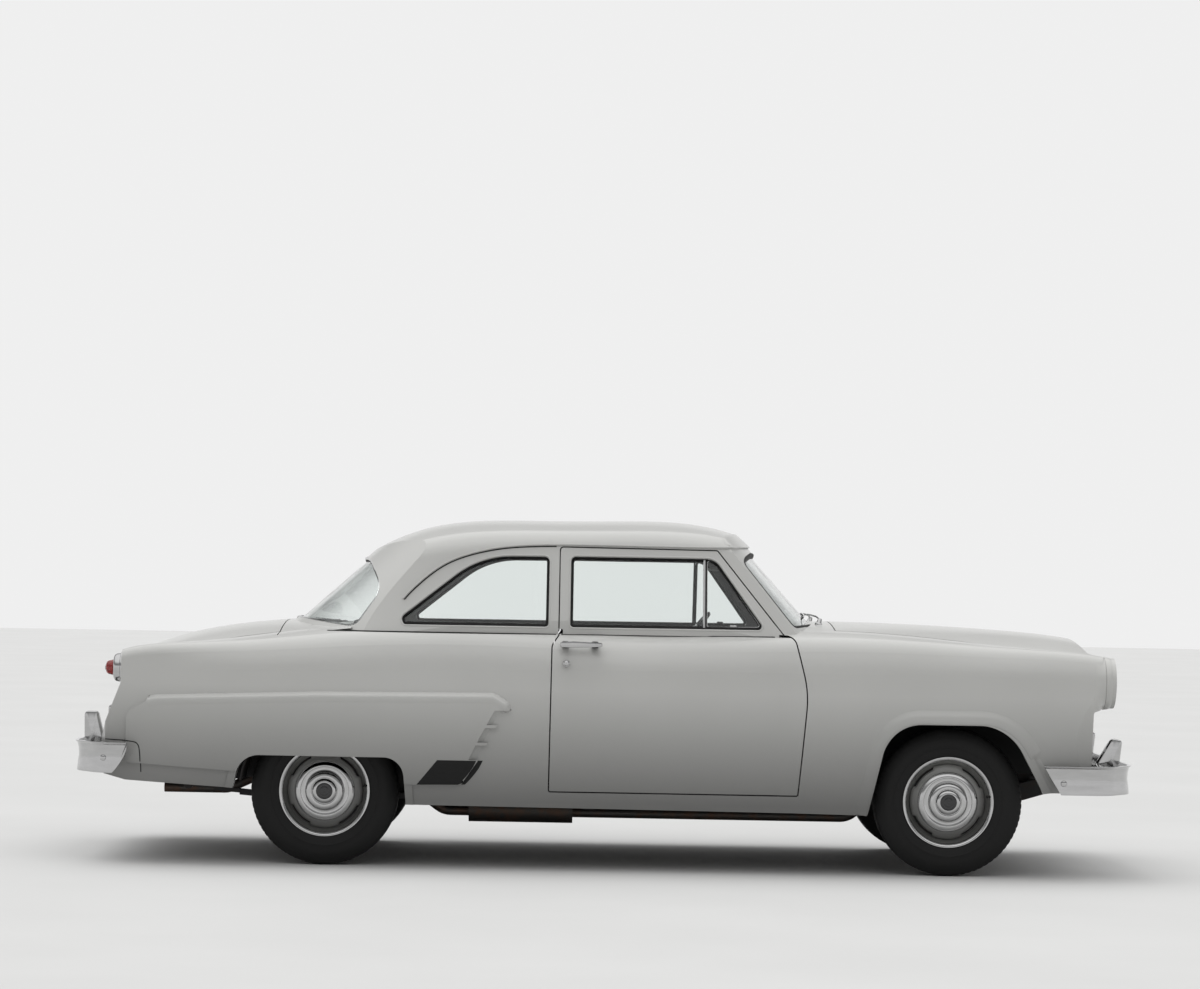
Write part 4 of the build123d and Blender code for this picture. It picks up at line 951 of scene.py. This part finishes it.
def screen_seals():
    """Rubber round the windscreen and the rear window, with a bright strip on the rear one."""
    seal = [(-1.5, -10), (1.5, -8.5), (3, -4), (2, 3), (-5, 9), (-14, 13), (-17, 13), (-17, 2), (-3, -2)]
    strip_rows = [(1.5, -4.5), (4.6, -3), (5.8, 0), (4.2, 4), (0.5, 7), (-3, 8), (-3, 5), (0, 2)]
    for name, screen, bright in (("windscreen", WINDSCREEN, False), ("rear_window", REAR_SCREEN, True)):
        points, normals = screen.edge(screen.outline)
        shape = ring(Shape(), points, normals, seal, 0)
        if bright:
            ring(shape, points, normals, strip_rows, 1)
        shape.piece(name + "_seal", "body", "tyre", [RUBBER, CHROME])


RAIL = (
    (-954, 1253), (-921, 1292), (-849, 1360), (-777, 1414), (-705, 1450), (-618, 1478), (-524, 1499),
    (-416, 1512), (-222, 1519.5), (150, 1518), (522, 1515.5), (600, 1518), (628, 1521),
)


def drip_rails():
    """Gutter over the side windows, with a black strip under its rear part that is painted shadow."""
    skin = Skin("roof")
    gutter = [(-4, 8), (1, 6.5), (3, 3), (7, 3), (8, 6.5), (10.5, 6.5), (11, 0), (9, -2.5), (0.5, -3.5),
              (-4, -3.5)]
    # The black strip under the gutter's rear part stands for the gutter's shadow: painted shadow
    shadow_strip, shadow_strip_end_x = [(1.2, -3.2), (1.2, -9), (-4, -9), (-4, -3.2)], -235
    points, normals = skin.follow(softened(RAIL), 1, 14.0)
    shape = Shape().sweep(points, gutter, normals, 0)
    rear = [(p, n) for p, n in zip(points, normals) if p.x < shadow_strip_end_x]
    shape.sweep([p for p, n in rear], shadow_strip, [n for p, n in rear], 1)
    shape.both_sides("drip_rail", "paint", [PAINT, RUBBER])


def visor():
    """The roof panel's lip over the windscreen."""
    skin, half, tip_out, tip_z, tip_drop = Skin("roof"), 626.0, 13.0, 1530.0, 7.0
    crease_low, crease_high, climb, folds = 1500.0, 1600.0, 2, 8
    rows = []
    for k in range(91):
        y = half * (k / 45 - 1)
        crease = crease_low
        while crease < crease_high:
            hit = skin.toward((3000, y, crease + climb), BACKWARD)
            if hit is None or hit[0].x < WINDSCREEN.point(y, crease + climb).x - 7:
                break
            crease += climb
        tip = tip_z - tip_drop * (y / half) ** 2
        crease = max(crease, tip + 4)
        row = [WINDSCREEN.point(y, crease + 3) + Vector((-9, 0, 0.2))]
        for fold in range(folds + 1):
            s = fold / folds
            at = WINDSCREEN.point(y, crease + (tip - crease) * s)
            row.append(at + Vector((0.8 + tip_out * math.sin(s * math.pi / 2), 0, 0.6)))
        edge = row[-1]
        row += [edge + Vector(way) for way in ((-0.5, 0, -3), (-4, 0, -5), (-13, 0, -5.5))]
        rows.append(row + [WINDSCREEN.point(y, tip - 12) + Vector((-4, 0, 0))])
    Shape().sheet(rows).piece("roof_visor_lip", "body", "paint", [PAINT])


BULGE_LINE = ((-2234, 690, 0), (-2214, 728, 70), (-2110, 768, 200), (-1330, 798, 3000), (-520, 806, 24),
              (-448, 764, 20), (-464, 736, 0))


def bulge_ridges():
    """Rounded edge along the top of the rear quarter's raised part."""
    skin, set_in = Skin("quarter_panel_left"), 3.0
    line = spaced(rounded(BULGE_LINE, False, 12), 9.0)
    inner = []
    for i, at in enumerate(line):
        along = heading(line, i)
        inner.append(at + Vector((along.y, -along.x)) * set_in)
    points, normals = skin.lay(inner, 1)
    section = [(0.4, -26), (1.4, -16), (1.6, -8), (0.4, 0), (-2.6, 6), (-7, 11), (-12, 15), (-17, 18.5),
               (-21, 23), (-24, 23), (-24, -26)]
    section = [(out, across + set_in * 0.5) for out, across in section]
    Shape().sweep(points, section, normals).both_sides("quarter_ridge", "paint", [PAINT], 50.0)


def stone_shields():
    """Black rubber guard at the foot of the raised part, ahead of the rear wheel."""
    skin = Skin("quarter_panel_left")
    left, right = ((-770, 512), (-867, 393)), ((-575, 509), (-594, 469), (-634, 418), (-657, 396))
    edge = spaced(softened(right, 2), 10.0)
    top_z, foot_z, count, across = 512, 396, len(edge), 24
    thick, ripple, edge_lift, edge_wide = 3.0, 0.9, 0.5, 14
    rows = []
    for i, end in enumerate(edge):
        start = Vector(left[0]).lerp(Vector(left[1]), (top_z - end.y) / (top_z - foot_z))
        row = []
        for k in range(across + 1):
            at = start.lerp(end, k / across)
            point, normal = skin.beside(at.x, at.y, 1)
            rim = i in (0, count - 1) or k in (0, across)
            lift = edge_lift if rim else thick + ripple * math.cos(math.tau * i / 3)
            row.append(point + normal * lift)
        point, normal = skin.beside(end.x + edge_wide, end.y, 1)
        rows.append(row + [point + normal * edge_lift])
    Shape().sheet(rows).both_sides("stone_shield", "tyre", [SHIELD])


def door_handles():
    """Bright pull grip over two dark seats, and a round key lock."""
    grip = rounded(((-212, 1043, 9), (-212, 1068, 11), (-150, 1071, 30), (-14, 1066, 9), (-14, 1046, 9),
                    (-150, 1041, 30)))
    lock = [(-20, 17), (4, 17), (7, 15), (8, 12), (10, 11.5), (28, 11), (31, 8), (31, 2.5), (29, 2),
            (29, 0)]
    grip_y, seat_in, seat_out, lock_x, lock_z, wall_z = 917.5, 850, 916, -181, 967, 940
    for name, side in SIDES.items():
        shape = Shape().pillow(spaced(grip, 6.0, True), side * grip_y, 13.5, 4)
        for x0, x1 in ((-204, -170), (-66, -32)):
            shape.block((x0, side * seat_in, 1040), (x1, side * seat_out, 1071), 8, 1)
        wall = Skin("door_" + name).beside(lock_x, wall_z, side)[0].y
        shape.revolve(lock, (lock_x, wall, lock_z), (0, side, 0), 0, 32)
        shape.piece("door_handle_" + name, "door_" + name, "chrome", [CHROME, RUBBER])


def wipers():
    """Two arms on chrome pivots, with blades along the foot of the windscreen."""
    pivot = [(-6, 19), (3, 19), (6, 15), (9, 13), (26, 10), (30, 6), (30, 0)]
    pivot_x, pivot_y, inner_y, middle_y, outer_y = 1030, 330, 40, 170, 300

    def over_glass(y, z, out):
        return WINDSCREEN.point(y, z) + WINDSCREEN.normal(y) * out - Vector((22, 0, 0))

    for name, side in SIDES.items():
        foot = Skin("cowl").above(pivot_x, side * pivot_y)[0]
        shape = Shape().revolve(pivot, foot, (0.25, 0, 1), 0, 24)
        top, middle = foot + Vector((6, 0, 24)), over_glass(side * middle_y, 1196, 17)
        shape.tube([top, top.lerp(middle, 0.3) + Vector((3, 0, 7)),
                    top.lerp(middle, 0.7) + Vector((2, 0, 6)), middle], 4.2, 0, 10)
        for out, radius, kind in ((10, 3.2, 0), (5, 3.8, 1)):
            blade = [over_glass(side * (inner_y + (outer_y - inner_y) * k / 10), 1204 - 16 * k / 10, out)
                     for k in range(11)]
            shape.tube(blade, radius, kind, 8)
        shape.piece("wiper_" + name, "body", "chrome", [CHROME, RUBBER])


FRONT_ARCH = ((1222, 262, 0), (1330, 714, 190), (1880, 714, 240), (2068, 428, 0))


def arch_flares():
    """Rolled edge of the front wheel arch, fading into the fender."""
    lip, arch_x, flank_z = 18.0, 1617, 500
    section = [(-20, -20), (-3, -20.5), (1.6, -17), (3.2, -10), (3.4, -2), (2.8, 8), (1.4, 17),
               (-1.6, 26), (-5, 34), (-7.7, 42), (-9.2, 47), (-14, 48), (-14, -18)]
    skin = Skin("front_fender_left")
    outer = [(x + (-lip if x < arch_x else lip), z + (lip if z > flank_z else 0), r + lip if r else 0)
             for x, z, r in FRONT_ARCH]
    points, normals = skin.follow(spaced(rounded(outer, False, 16), 12.0), 1, 12.0)
    flat = [Vector((n.x * 0.3, n.y, n.z * 0.3)).normalized() for n in normals]
    Shape().sweep(points, section, flat).both_sides("arch_flare", "paint", [PAINT], 50.0)


def headlamp_rims():
    """Painted rim round each headlamp, drawn out of the fender's own surface."""
    y, z = headlamp_place()[1:]
    skin, start_x, seam_x, edge, widest = Skin("front_fender_left"), 2288.0, 2342.0, 124.0, 190.0
    rim = [(2343.5, -2.5), (2345, 0), (2358, -0.8), (2370, -3.5), (2380, -8.5), (2387, -15), (2391, -22),
           (2391.5, -26), (2388, -28.5), (2372, -29)]
    rows, columns = [], 7
    for across, up in circle(1.0, 96):
        out, begin = Vector((0, across, up)), Vector((start_x, y, z))
        hit = skin.tree.ray_cast(begin + out * 400, -out)
        reach = edge if hit[0] is None else max(edge, min((hit[0] - begin).length, widest))
        row = []
        for k in range(columns + 1):
            s = k / columns
            blend = s * s * (3 - 2 * s)
            row.append(begin + Vector(((seam_x - start_x) * s, 0, 0))
                       + out * ((reach - 1.0) * (1 - blend) + edge * blend))
        rows.append(row + [Vector((x, y, z)) + out * (edge + grow) for x, grow in rim])
    Shape().sheet(rows, close_rows=True).both_sides("headlamp_rim", "paint", [PAINT], 40.0)


def tail_seams():
    """Seam where the body makes room for the rear bumper's end."""
    line = [Vector(p) for p in ((-2330, 574), (-2200, 569), (-2172, 560), (-2162, 530), (-2158, 424))]
    points, normals = Skin("quarter_panel_left").follow(softened(line, 2), 1, 10.0)
    section = [(1.2, -2.2), (1.2, 2.2), (-3, 2.2), (-3, -2.2)]
    Shape().sweep(points, section, normals).both_sides("tail_seam", "tyre", [RUBBER])


def deck_corners():
    """Painted corners between the foot of the rear pillars, the rear deck and the quarters."""
    deck, quarter = Skin("rear_deck"), Skin("quarter_panel_left")
    climb, start_x, end_x = 0.115, -1426, -1195
    across = [500.0 + 12 * k for k in range(20)] + [738.0]
    heights = [(deck.above(start_x, y) or quarter.above(start_x, y))[0].z - 0.6 for y in across]
    rows = [[(x, y, z + climb * (x - start_x)) for y, z in zip(across, heights)]
            for x in range(start_x, end_x, 10)]
    under = [[(x, y, z - 3) for x, y, z in row] for row in rows]
    Shape().sheet(rows).sheet(under).both_sides("deck_corner", "paint", [PAINT])


BLACK_PLATES = {
    "grille_side_plates": [((2068, 572, 482), (2262, 578, 900))],
    "wheel_aprons": [((1040, 558, 706), (2066, 563, 888)), ((-1800, 699, 392), (-1690, 704, 570))],
}


def black_plates():
    """Black plates beside the grille, above the front wheels and behind the rear ones."""
    for name, plates in BLACK_PLATES.items():
        shape = Shape()
        for side in (1, -1):
            for (x0, y0, z0), (x1, y1, z1) in plates:
                shape.block((x0, side * y0, z0), (x1, side * y1, z1), 2)
        shape.piece(name, "body", "chassis", [UNDERCOAT])


def trunk_sides():
    """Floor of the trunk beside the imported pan, as far as the quarter's inner wall."""
    quarter, pan_edge, pan_z, plate = Skin("quarter_panel_left"), 536.0, 553.0, 4.0
    rows = []
    for x in range(-2210, -1690, 40):
        start = Vector((x, pan_edge, pan_z))
        wall = quarter.toward(start, (0, 1, 0))
        if wall:
            rows.append([start, Vector((x, wall[0].y - 2, pan_z))])
    under = [[p - Vector((0, 0, plate)) for p in row] for row in rows]
    Shape().sheet(rows).sheet(under).both_sides("trunk_side", "chassis", [UNDERCOAT])


def tail_trim():
    """Blank licence plate under its lamp hood, and the trunk's handle and lock."""
    skin, shape = Skin("trunk_lid"), Shape()

    def face(y, z):
        return skin.toward((-3000, y, z), FORWARD)[0]

    plate_half, plate_low, plate_high, proud = 152, 716, 866, Vector((7, 0, 0))
    foot_right, foot_left = face(-plate_half, plate_low) - proud, face(plate_half, plate_low) - proud
    lean = (face(-plate_half, plate_high) - proud - foot_right).normalized()
    foot, normal = (foot_right + foot_left) / 2, Vector((-lean.z, 0, lean.x))
    corner = rounded_box(-150, 0, 150, 148, 8)
    loop = [foot + Vector((0, p.x, 0)) + lean * p.y for p in corner]
    shape.slab(loop, normal * -1.5, 1)
    ring(shape, loop, [normal] * len(loop), [(2.5, -3), (3.5, 0), (1.5, 3.5), (-4, 3.5), (-4, -3)], 0)
    lamp_hood = [(-60, 0), (-60, 12), (-50, 18), (50, 18), (60, 12), (60, 0)]
    shape.revolve(lamp_hood, foot + lean * 164, (0, 1, 0), 0, 32)
    handle, lock_way = face(0, 930), (-1, 0, 0.4)
    shape.turned(handle, lock_way, ([(-4, 30), (5, 30), (9, 26), (10, 18), (10, 0)], 0, 40),
                 ([(9, 9), (26, 9), (28, 6), (28, 0)], 0, 24))
    shape.block(handle + Vector((-22, -62, -9)), handle + Vector((-9, 62, 9)), 5)
    shape.piece("trunk_trim", "trunk_lid", "chrome", [CHROME, PLATE])


# Inside the cab

PLEAT, PLEAT_HALF, PLEAT_DEPTH = 95.0, 12.0, 7.0
VOXEL, PRESSURE, LAST_FRAME = 16.0, 4.0, 20


def finished_mesh(piece):
    """The piece's mesh with its modifiers applied."""
    held = piece.evaluated_get(bpy.context.evaluated_depsgraph_get())
    return bpy.data.meshes.new_from_object(held)


def stuffed(shape, cap):
    """The shape swollen like stuffed cloth, each point's travel capped, and its normals."""
    mesh = bpy.data.meshes.new("stuffing")
    mesh.from_pydata([p * MM for p in shape.points], [], shape.faces)
    weld(mesh, 0.05)
    pad, scene = new_object("stuffing", mesh), bpy.context.scene
    remesh = pad.modifiers.new("remesh", "REMESH")
    remesh.mode = "VOXEL"
    remesh.voxel_size = VOXEL * MM
    pad.data = finished_mesh(pad)
    pad.modifiers.clear()
    rest = [v.co.copy() for v in pad.data.vertices]
    cloth = pad.modifiers.new("cloth", "CLOTH")
    cloth.settings.use_pressure = True
    cloth.settings.uniform_pressure_force = PRESSURE
    cloth.settings.effector_weights.gravity = 0.0
    for number in range(1, LAST_FRAME + 1):
        scene.frame_set(number)
    pad.data = finished_mesh(pad)
    pad.modifiers.clear()
    scene.frame_set(1)
    for vertex, start in zip(pad.data.vertices, rest):
        move = vertex.co - start
        if move.length > cap * MM:
            vertex.co = start + move.normalized() * cap * MM
    smooth = pad.modifiers.new("smooth", "SMOOTH")
    smooth.factor, smooth.iterations = 0.5, 4
    finer = pad.modifiers.new("subdivision", "SUBSURF")
    finer.levels = finer.render_levels = 1
    mesh = finished_mesh(pad)
    bpy.data.objects.remove(pad)
    made = Shape()
    made.points = [v.co / MM for v in mesh.vertices]
    made.faces = [tuple(face.vertices) for face in mesh.polygons]
    made.kinds = [0] * len(made.faces)
    return made, [v.normal.copy() for v in mesh.vertices]


def cushion(name, node, outline, middle_y, half, edge, cap, facing, rise, insert):
    """Stuffed seat pad: pleated cloth insert, vinyl round it and a welt between.

    The insert looks along facing. It runs from its first to its second number
    along rise, and its third is half its width."""
    line = spaced(rounded(outline, True, 6), 18.0, True)
    pad, normals = stuffed(Shape().pillow(line, middle_y, half, edge), cap)
    facing, rise = Vector(facing).normalized(), Vector(rise).normalized()
    low, high, wide = insert

    def inside(point, normal, margin):
        faces_on = normal.dot(facing) > 0.5
        beside = abs(point.y - middle_y) < wide - margin
        return faces_on and beside and low + margin < point.dot(rise) < high - margin

    for j, face in enumerate(pad.faces):
        centre = sum((pad.points[k] for k in face), Vector()) / len(face)
        if inside(centre, normals[face[0]], 0):
            pad.kinds[j] = 1
    for i, normal in enumerate(normals):
        point = pad.points[i]
        if inside(point, normal, 10):
            off = abs((point.y - middle_y + PLEAT / 2) % PLEAT - PLEAT / 2)
            if off < PLEAT_HALF:
                pad.points[i] = point - normal * PLEAT_DEPTH * (1 - (off / PLEAT_HALF) ** 2)
    tree = BVHTree.FromPolygons(pad.points, pad.faces)
    border = rounded_box(low, -wide, high, wide, 45)
    path = []
    for at in spaced(border, 14.0, True):
        start = rise * at.x + Vector((0, middle_y + at.y, 0)) + facing * 2000
        hit = tree.ray_cast(start, -facing)
        if hit[0] is not None:
            path.append(hit[0])
    ring(pad, path, [facing] * len(path), [(b, a) for a, b in circle(4.5, 10)])
    made = pad.piece(name, "body", "upholstery", [VINYL, CLOTH], [node], 60.0)


def seats():
    """Front bench with two split backs, rear bench, and the steel frames below them."""
    up, front_lean, front_face = (0, 0, 1), (-0.179, 0, 0.984), (0.984, 0, 0.179)
    rear_lean, rear_face = (-0.271, 0, 0.962), (0.962, 0, 0.271)
    cushion("front_seat_cushion", "front_seat",
            ((-172, 485, 30), (150, 490, 40), (178, 530, 40), (180, 604, 60), (-176, 580, 35)),
            middle_y=0, half=612, edge=24, cap=26, facing=up, rise=FORWARD, insert=(-150, 140, 520))
    for name, side in SIDES.items():
        cushion("front_seat_back_" + name, "front_seat",
                ((-224, 612, 16), (-300, 1046, 20), (-343, 1050, 18), (-264, 612, 16)),
                middle_y=side * 318, half=288, edge=16, cap=22, facing=front_face, rise=front_lean,
                insert=(700, 1040, 225))
    cushion("rear_seat_cushion", "rear_seat",
            ((-955, 628, 24), (-880, 606, 20), (-690, 600, 30), (-664, 640, 30), (-662, 706, 45),
             (-960, 690, 30)),
            middle_y=0, half=600, edge=24, cap=26, facing=up, rise=FORWARD, insert=(-940, -700, 500))
    cushion("rear_seat_back", "rear_seat",
            ((-1040, 745, 20), (-1128, 1042, 28), (-1180, 1046, 20), (-1150, 775, 20)),
            middle_y=0, half=590, edge=20, cap=24, facing=rear_face, rise=rear_lean,
            insert=(1030, 1290, 490))
    rails = Shape().block((-262, -585, 395), (152, 585, 466), 10)
    for side in (1, -1):
        for x0, x1 in ((-276, -236), (96, 136)):
            rails.block((x0, side * 588, 395), (x1, side * 606, 500), 5)
    rails.block((-830, -590, 396), (-700, 590, 585), 12, 1)
    rails.piece("seat_frames", "body", "chassis", [CHASSIS, VINYL], ["front_seat", "rear_seat"])


def dash_trim():
    """Speedometer, small gauges, speaker bars, glovebox door, knobs and a bright strip."""
    skin, shape = Skin("dashboard"), Shape()
    lean, across = Vector((-0.93, 0, 0.36)).normalized(), Vector((0, 1, 0))
    up, dial_z, knob_z, strip_z = lean.cross(across), 1030, 1012, 987

    def face(y, z):
        return skin.toward((300, y, z), FORWARD)[0]

    for y, size in ((380, 64), (270, 26), (490, 26)):
        centre = face(y, dial_z)
        bezel = [(-6, size + 6), (4, size + 6), (8, size + 3), (9, size), (7, size - 3), (4, size - 4)]
        shape.turned(centre, lean, (bezel, 0, 64), ([(4, size - 4), (3, 0)], 1, 48),
                     ([(3, 5), (6, 4.5), (7, 0)], 2, 16))
        mark = centre + lean * 4.2
        for k in range(9):
            turn = math.radians(-120 + 30 * k)
            out = across * math.sin(turn) - up * math.cos(turn)
            shape.tube([mark + out * (size * 0.66), mark + out * (size * 0.86)], size * 0.02, 2, 6)
        pin, hand = centre + lean * 6, across * 0.7 - up * 0.7
        shape.tube([pin, pin + hand * size * 0.7], size * 0.025, 3, 6)
    for y in range(-92, 93, 23):
        shape.tube([face(y, 1000) + lean * 3, face(y, 1062) + lean * 3], 3.4, 0, 8)
    door = rounded_box(-590, 985, -250, 1066, 18, 5)
    path = [face(p.x, max(p.y, 986)) for p in spaced(door, 12.0, True)]
    ring(shape, path, [lean] * len(path), [(0.6, -1.5), (0.6, 1.5), (-3, 1.5), (-3, -1.5)], 2)
    knob = [(-2, 8), (4, 7), (9, 7), (12, 12), (20, 12), (23, 9), (24, 0)]
    for y in (-420, 170, 215, 545, 590):
        shape.revolve(knob, face(y, knob_z), lean, 0, 24)
    shape.tube([face(y, strip_z) + lean * 1.5 for y in range(-640, 641, 40)], 4.0, 0, 8)
    shape.piece("dash_trim", "body", "chrome", [CHROME, DIAL, RUBBER, RED_LENS])


def steering_trim():
    """Bright horn ring and hub cap."""
    hub, axis = Vector((395, 380, 1035)), Vector((-0.781, 0, 0.624)).normalized()
    across, ring_radius, ring_out = Vector((0, 1, 0)), 128, 10
    up = axis.cross(across)
    shape = Shape().turned(
        hub, axis, ([(-2, 34), (6, 33.5), (13, 29), (17, 20), (18.5, 12), (18.5, 0)], 0, 48),
        ([(18.5, 14), (20, 13), (20.5, 9), (20.5, 0)], 1, 32))
    loop = [hub + axis * ring_out + across * a + up * b for a, b in circle(ring_radius, 72)]
    ring(shape, loop, [axis] * len(loop), [(b, a) for a, b in circle(3.4, 8)])
    for side in (1, -1):
        shape.tube([hub + axis * 7 + across * side * 26,
                    hub + axis * ring_out + across * side * ring_radius], 4.2, 0, 8)
    shape.piece("steering_wheel_trim", "steering_wheel", "chrome", [CHROME, BLACK])


def door_cards():
    """Armrest, window crank, inner handle and bright strips on each door's inner side."""
    strip = [(0, -5), (3, -4), (4, 0), (3, 4), (0, 5), (-2, 0)]
    boss = [(-2, 24), (6, 24), (11, 19), (14, 12), (15, 0)]
    knob = [(-8, 9), (6, 9), (20, 11), (26, 8), (28, 0)]
    for name, side in SIDES.items():
        skin, shape, inward = Skin("door_" + name), Shape(), Vector((0, -side, 0))

        def wall(x, z):
            return skin.toward((x, 0, z), (0, side, 0))[0]

        rest_y = wall(100, 720).y
        shape.block((-70, rest_y + side * 4, 690), (250, rest_y - side * 62, 742), 20, 1)
        for z in (880, 560):
            line = [wall(x, z) for x in range(-170, 741, 26)]
            shape.sweep(line, strip, [inward] * len(line))
        for x, z, run, drop, has_knob in ((330, 800, 84, -40, True), (520, 812, -78, -8, False)):
            foot, arm = wall(x, z), Vector((run, 0, drop))
            end = foot + arm + inward * 26
            shape.revolve(boss, foot, inward, 0, 32)
            shape.tube([foot + inward * 12, foot + inward * 20 + arm * 0.3, end], 5.5, 0, 10)
            if has_knob:
                shape.revolve(knob, end, inward, 2, 20)
        shape.piece("door_card_trim_" + name, "door_" + name, "chrome", [CHROME, VINYL, BLACK])


def headliner_trim():
    """Rear-view mirror on its stalk, and two sun visors under the header."""
    skin, shape, head_z = Skin("roof"), Shape(), 1350

    def ceiling(x, y):
        return skin.toward((x, y, head_z), (0, 0, 1))[0]

    shape.tube([ceiling(688, 0) + Vector((0, 0, 2)), (690, 0, 1478)], 5, 0, 10)
    shape.block((680, -100, 1426), (694, 100, 1480), 6)
    for side in (1, -1):
        roof_z = min(ceiling(x, side * y).z for x in (530, 600, 650) for y in (80, 300, 480))
        shape.block((520, side * 75, roof_z - 24), (655, side * 480, roof_z - 6), 8, 1)
    shape.piece("mirror_and_visors", "body", "chrome", [CHROME, LINER])


def footwells():
    """Carpeted boards and side panels that close the cab's front corners."""
    shape = Shape()
    for side in (1, -1):
        inner, outer, low, high, front = side * 524, side * 742, 395, 563, 1018
        board = [(824, inner, low), (824, outer, low), (front, outer, high), (front, inner, high)]
        flank = [(816, outer, low), (front, outer, low), (front, outer, 1088), (880, outer, 1088)]
        shape.slab(board, (2, 0, -3), 0).slab(flank, (0, side * 4, 0), 1)
    shape.piece("footwell_boards", "body", "upholstery", [CARPET, VINYL])


PAINTED = (
    "roof", "cowl", "rear_deck", "trunk_lid", "tail_panel", "hood", "nose_panel", "quarter_panel_left",
    "quarter_panel_right", "front_fender_left", "front_fender_right", "door_left", "door_right",
)
GLAZED = ("windscreen", "rear_window", "quarter_windows", "door_glass_left", "door_glass_right")
BLACKED = (
    "chassis_frame", "front_suspension", "rear_axle", "tie_rod", "knuckle_left", "knuckle_right",
    "radiator", "steering_column",
)


CARPET_END_X, CARPET_TOP_Z = 1000, 580
END_PANEL_X, COWL_PAINT_Z, REAR_CAB_X, CAB_FLOOR_Z = 2200, 990, (-880, -200), 400


def carried_over():
    """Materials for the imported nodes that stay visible."""
    finishes = dict.fromkeys(PAINTED, PAINT)
    finishes.update(dict.fromkeys(GLAZED, GLASS))
    finishes.update(dict.fromkeys(BLACKED, CHASSIS))
    finishes.update(engine=IRON, exhaust=STEEL, fuel_tank=TANK, floor_pan=CHASSIS, dashboard=DASH_PAINT,
                    steering_wheel=PLASTIC)
    for name, made in finishes.items():
        mesh = nodes[name].data
        mesh.materials.clear()
        mesh.materials.append(made)
    for name in PAINTED:
        line_inside(name)
    floor = nodes["floor_pan"].data
    floor.materials.append(CARPET)
    for face in floor.polygons:
        at = face.center / MM
        if face.normal.z > 0.7 and abs(at.x) < CARPET_END_X and at.z < CARPET_TOP_Z:
            face.material_index = 1


def line_inside(name):
    """Dark undercoat, cloth or vinyl on the faces of a painted panel that look inwards."""
    mesh = nodes[name].data
    lining, axis_z = (LINER, 900.0) if name == "roof" else (UNDERCOAT, 700.0)
    mesh.materials.append(VINYL if name.startswith("door") else lining)
    in_quarter = name.startswith("quarter")
    if in_quarter:
        mesh.materials.append(VINYL)
    for face in mesh.polygons:
        at, normal = face.center / MM, face.normal
        out = normal.y * at.y + normal.z * (at.z - axis_z)
        if abs(at.x) > END_PANEL_X and abs(normal.x) > 0.5:
            out = normal.x * at.x
        if out < -60 or (name == "cowl" and at.z < COWL_PAINT_Z):
            in_cab = in_quarter and REAR_CAB_X[0] < at.x < REAR_CAB_X[1] and at.z > CAB_FLOOR_Z
            face.material_index = 2 if in_cab else 1


def front_tip(level):
    """The front blade's end leans forward towards its lower edge."""
    return 1.0 - 0.33 * (1 - level)


def rear_tip(level):
    """The rear blade's end is pointed at the top and curves down and back."""
    return 1.0 - 0.8 * max(0.0, 1 - level / 0.85) ** 1.6


FRONT_GUARD = (
    (2440, 430, 20), (2362, 520, 16), (2436, 645, 24), (2486, 634, 14), (2472, 510, 30), (2470, 430, 10),
)
REAR_GUARD = (
    (-2440, 450, 20), (-2388, 560, 20), (-2421, 688, 12), (-2484, 688, 18), (-2482, 560, 30),
    (-2474, 450, 10),
)

make_camera()
soft_sun("overhead", (-0.2, 0.25, 1.0), 1.36, 50.0)
soft_sun("front_fill", (0.5, -1.0, 0.5), 0.06, 60.0)
make_world()
make_floor()
bpy.context.scene.view_settings.view_transform = "Standard"

carried_over()
for corner in ("front_left", "front_right", "rear_left", "rear_right"):
    tyre(corner)
    road_wheel(corner)
bumper("front_bumper", 1, (398, 534), FRONT_GUARD, front_tip, bolt_at=(2142, 452), iron=(2230, 360, 462))
bumper("rear_bumper", -1, (422, 566), REAR_GUARD, rear_tip, bolt_at=(-2325, 492), iron=(-2240, 470, 468))
for make in (headlamps, tail_lamps, grille, belt_groove, side_windows, vent_windows, screen_seals,
             drip_rails, visor, bulge_ridges, stone_shields, door_handles, wipers, arch_flares,
             headlamp_rims, tail_seams, deck_corners, black_plates, trunk_sides, tail_trim, footwells,
             seats, dash_trim, steering_trim, door_cards, headliner_trim):
    make()
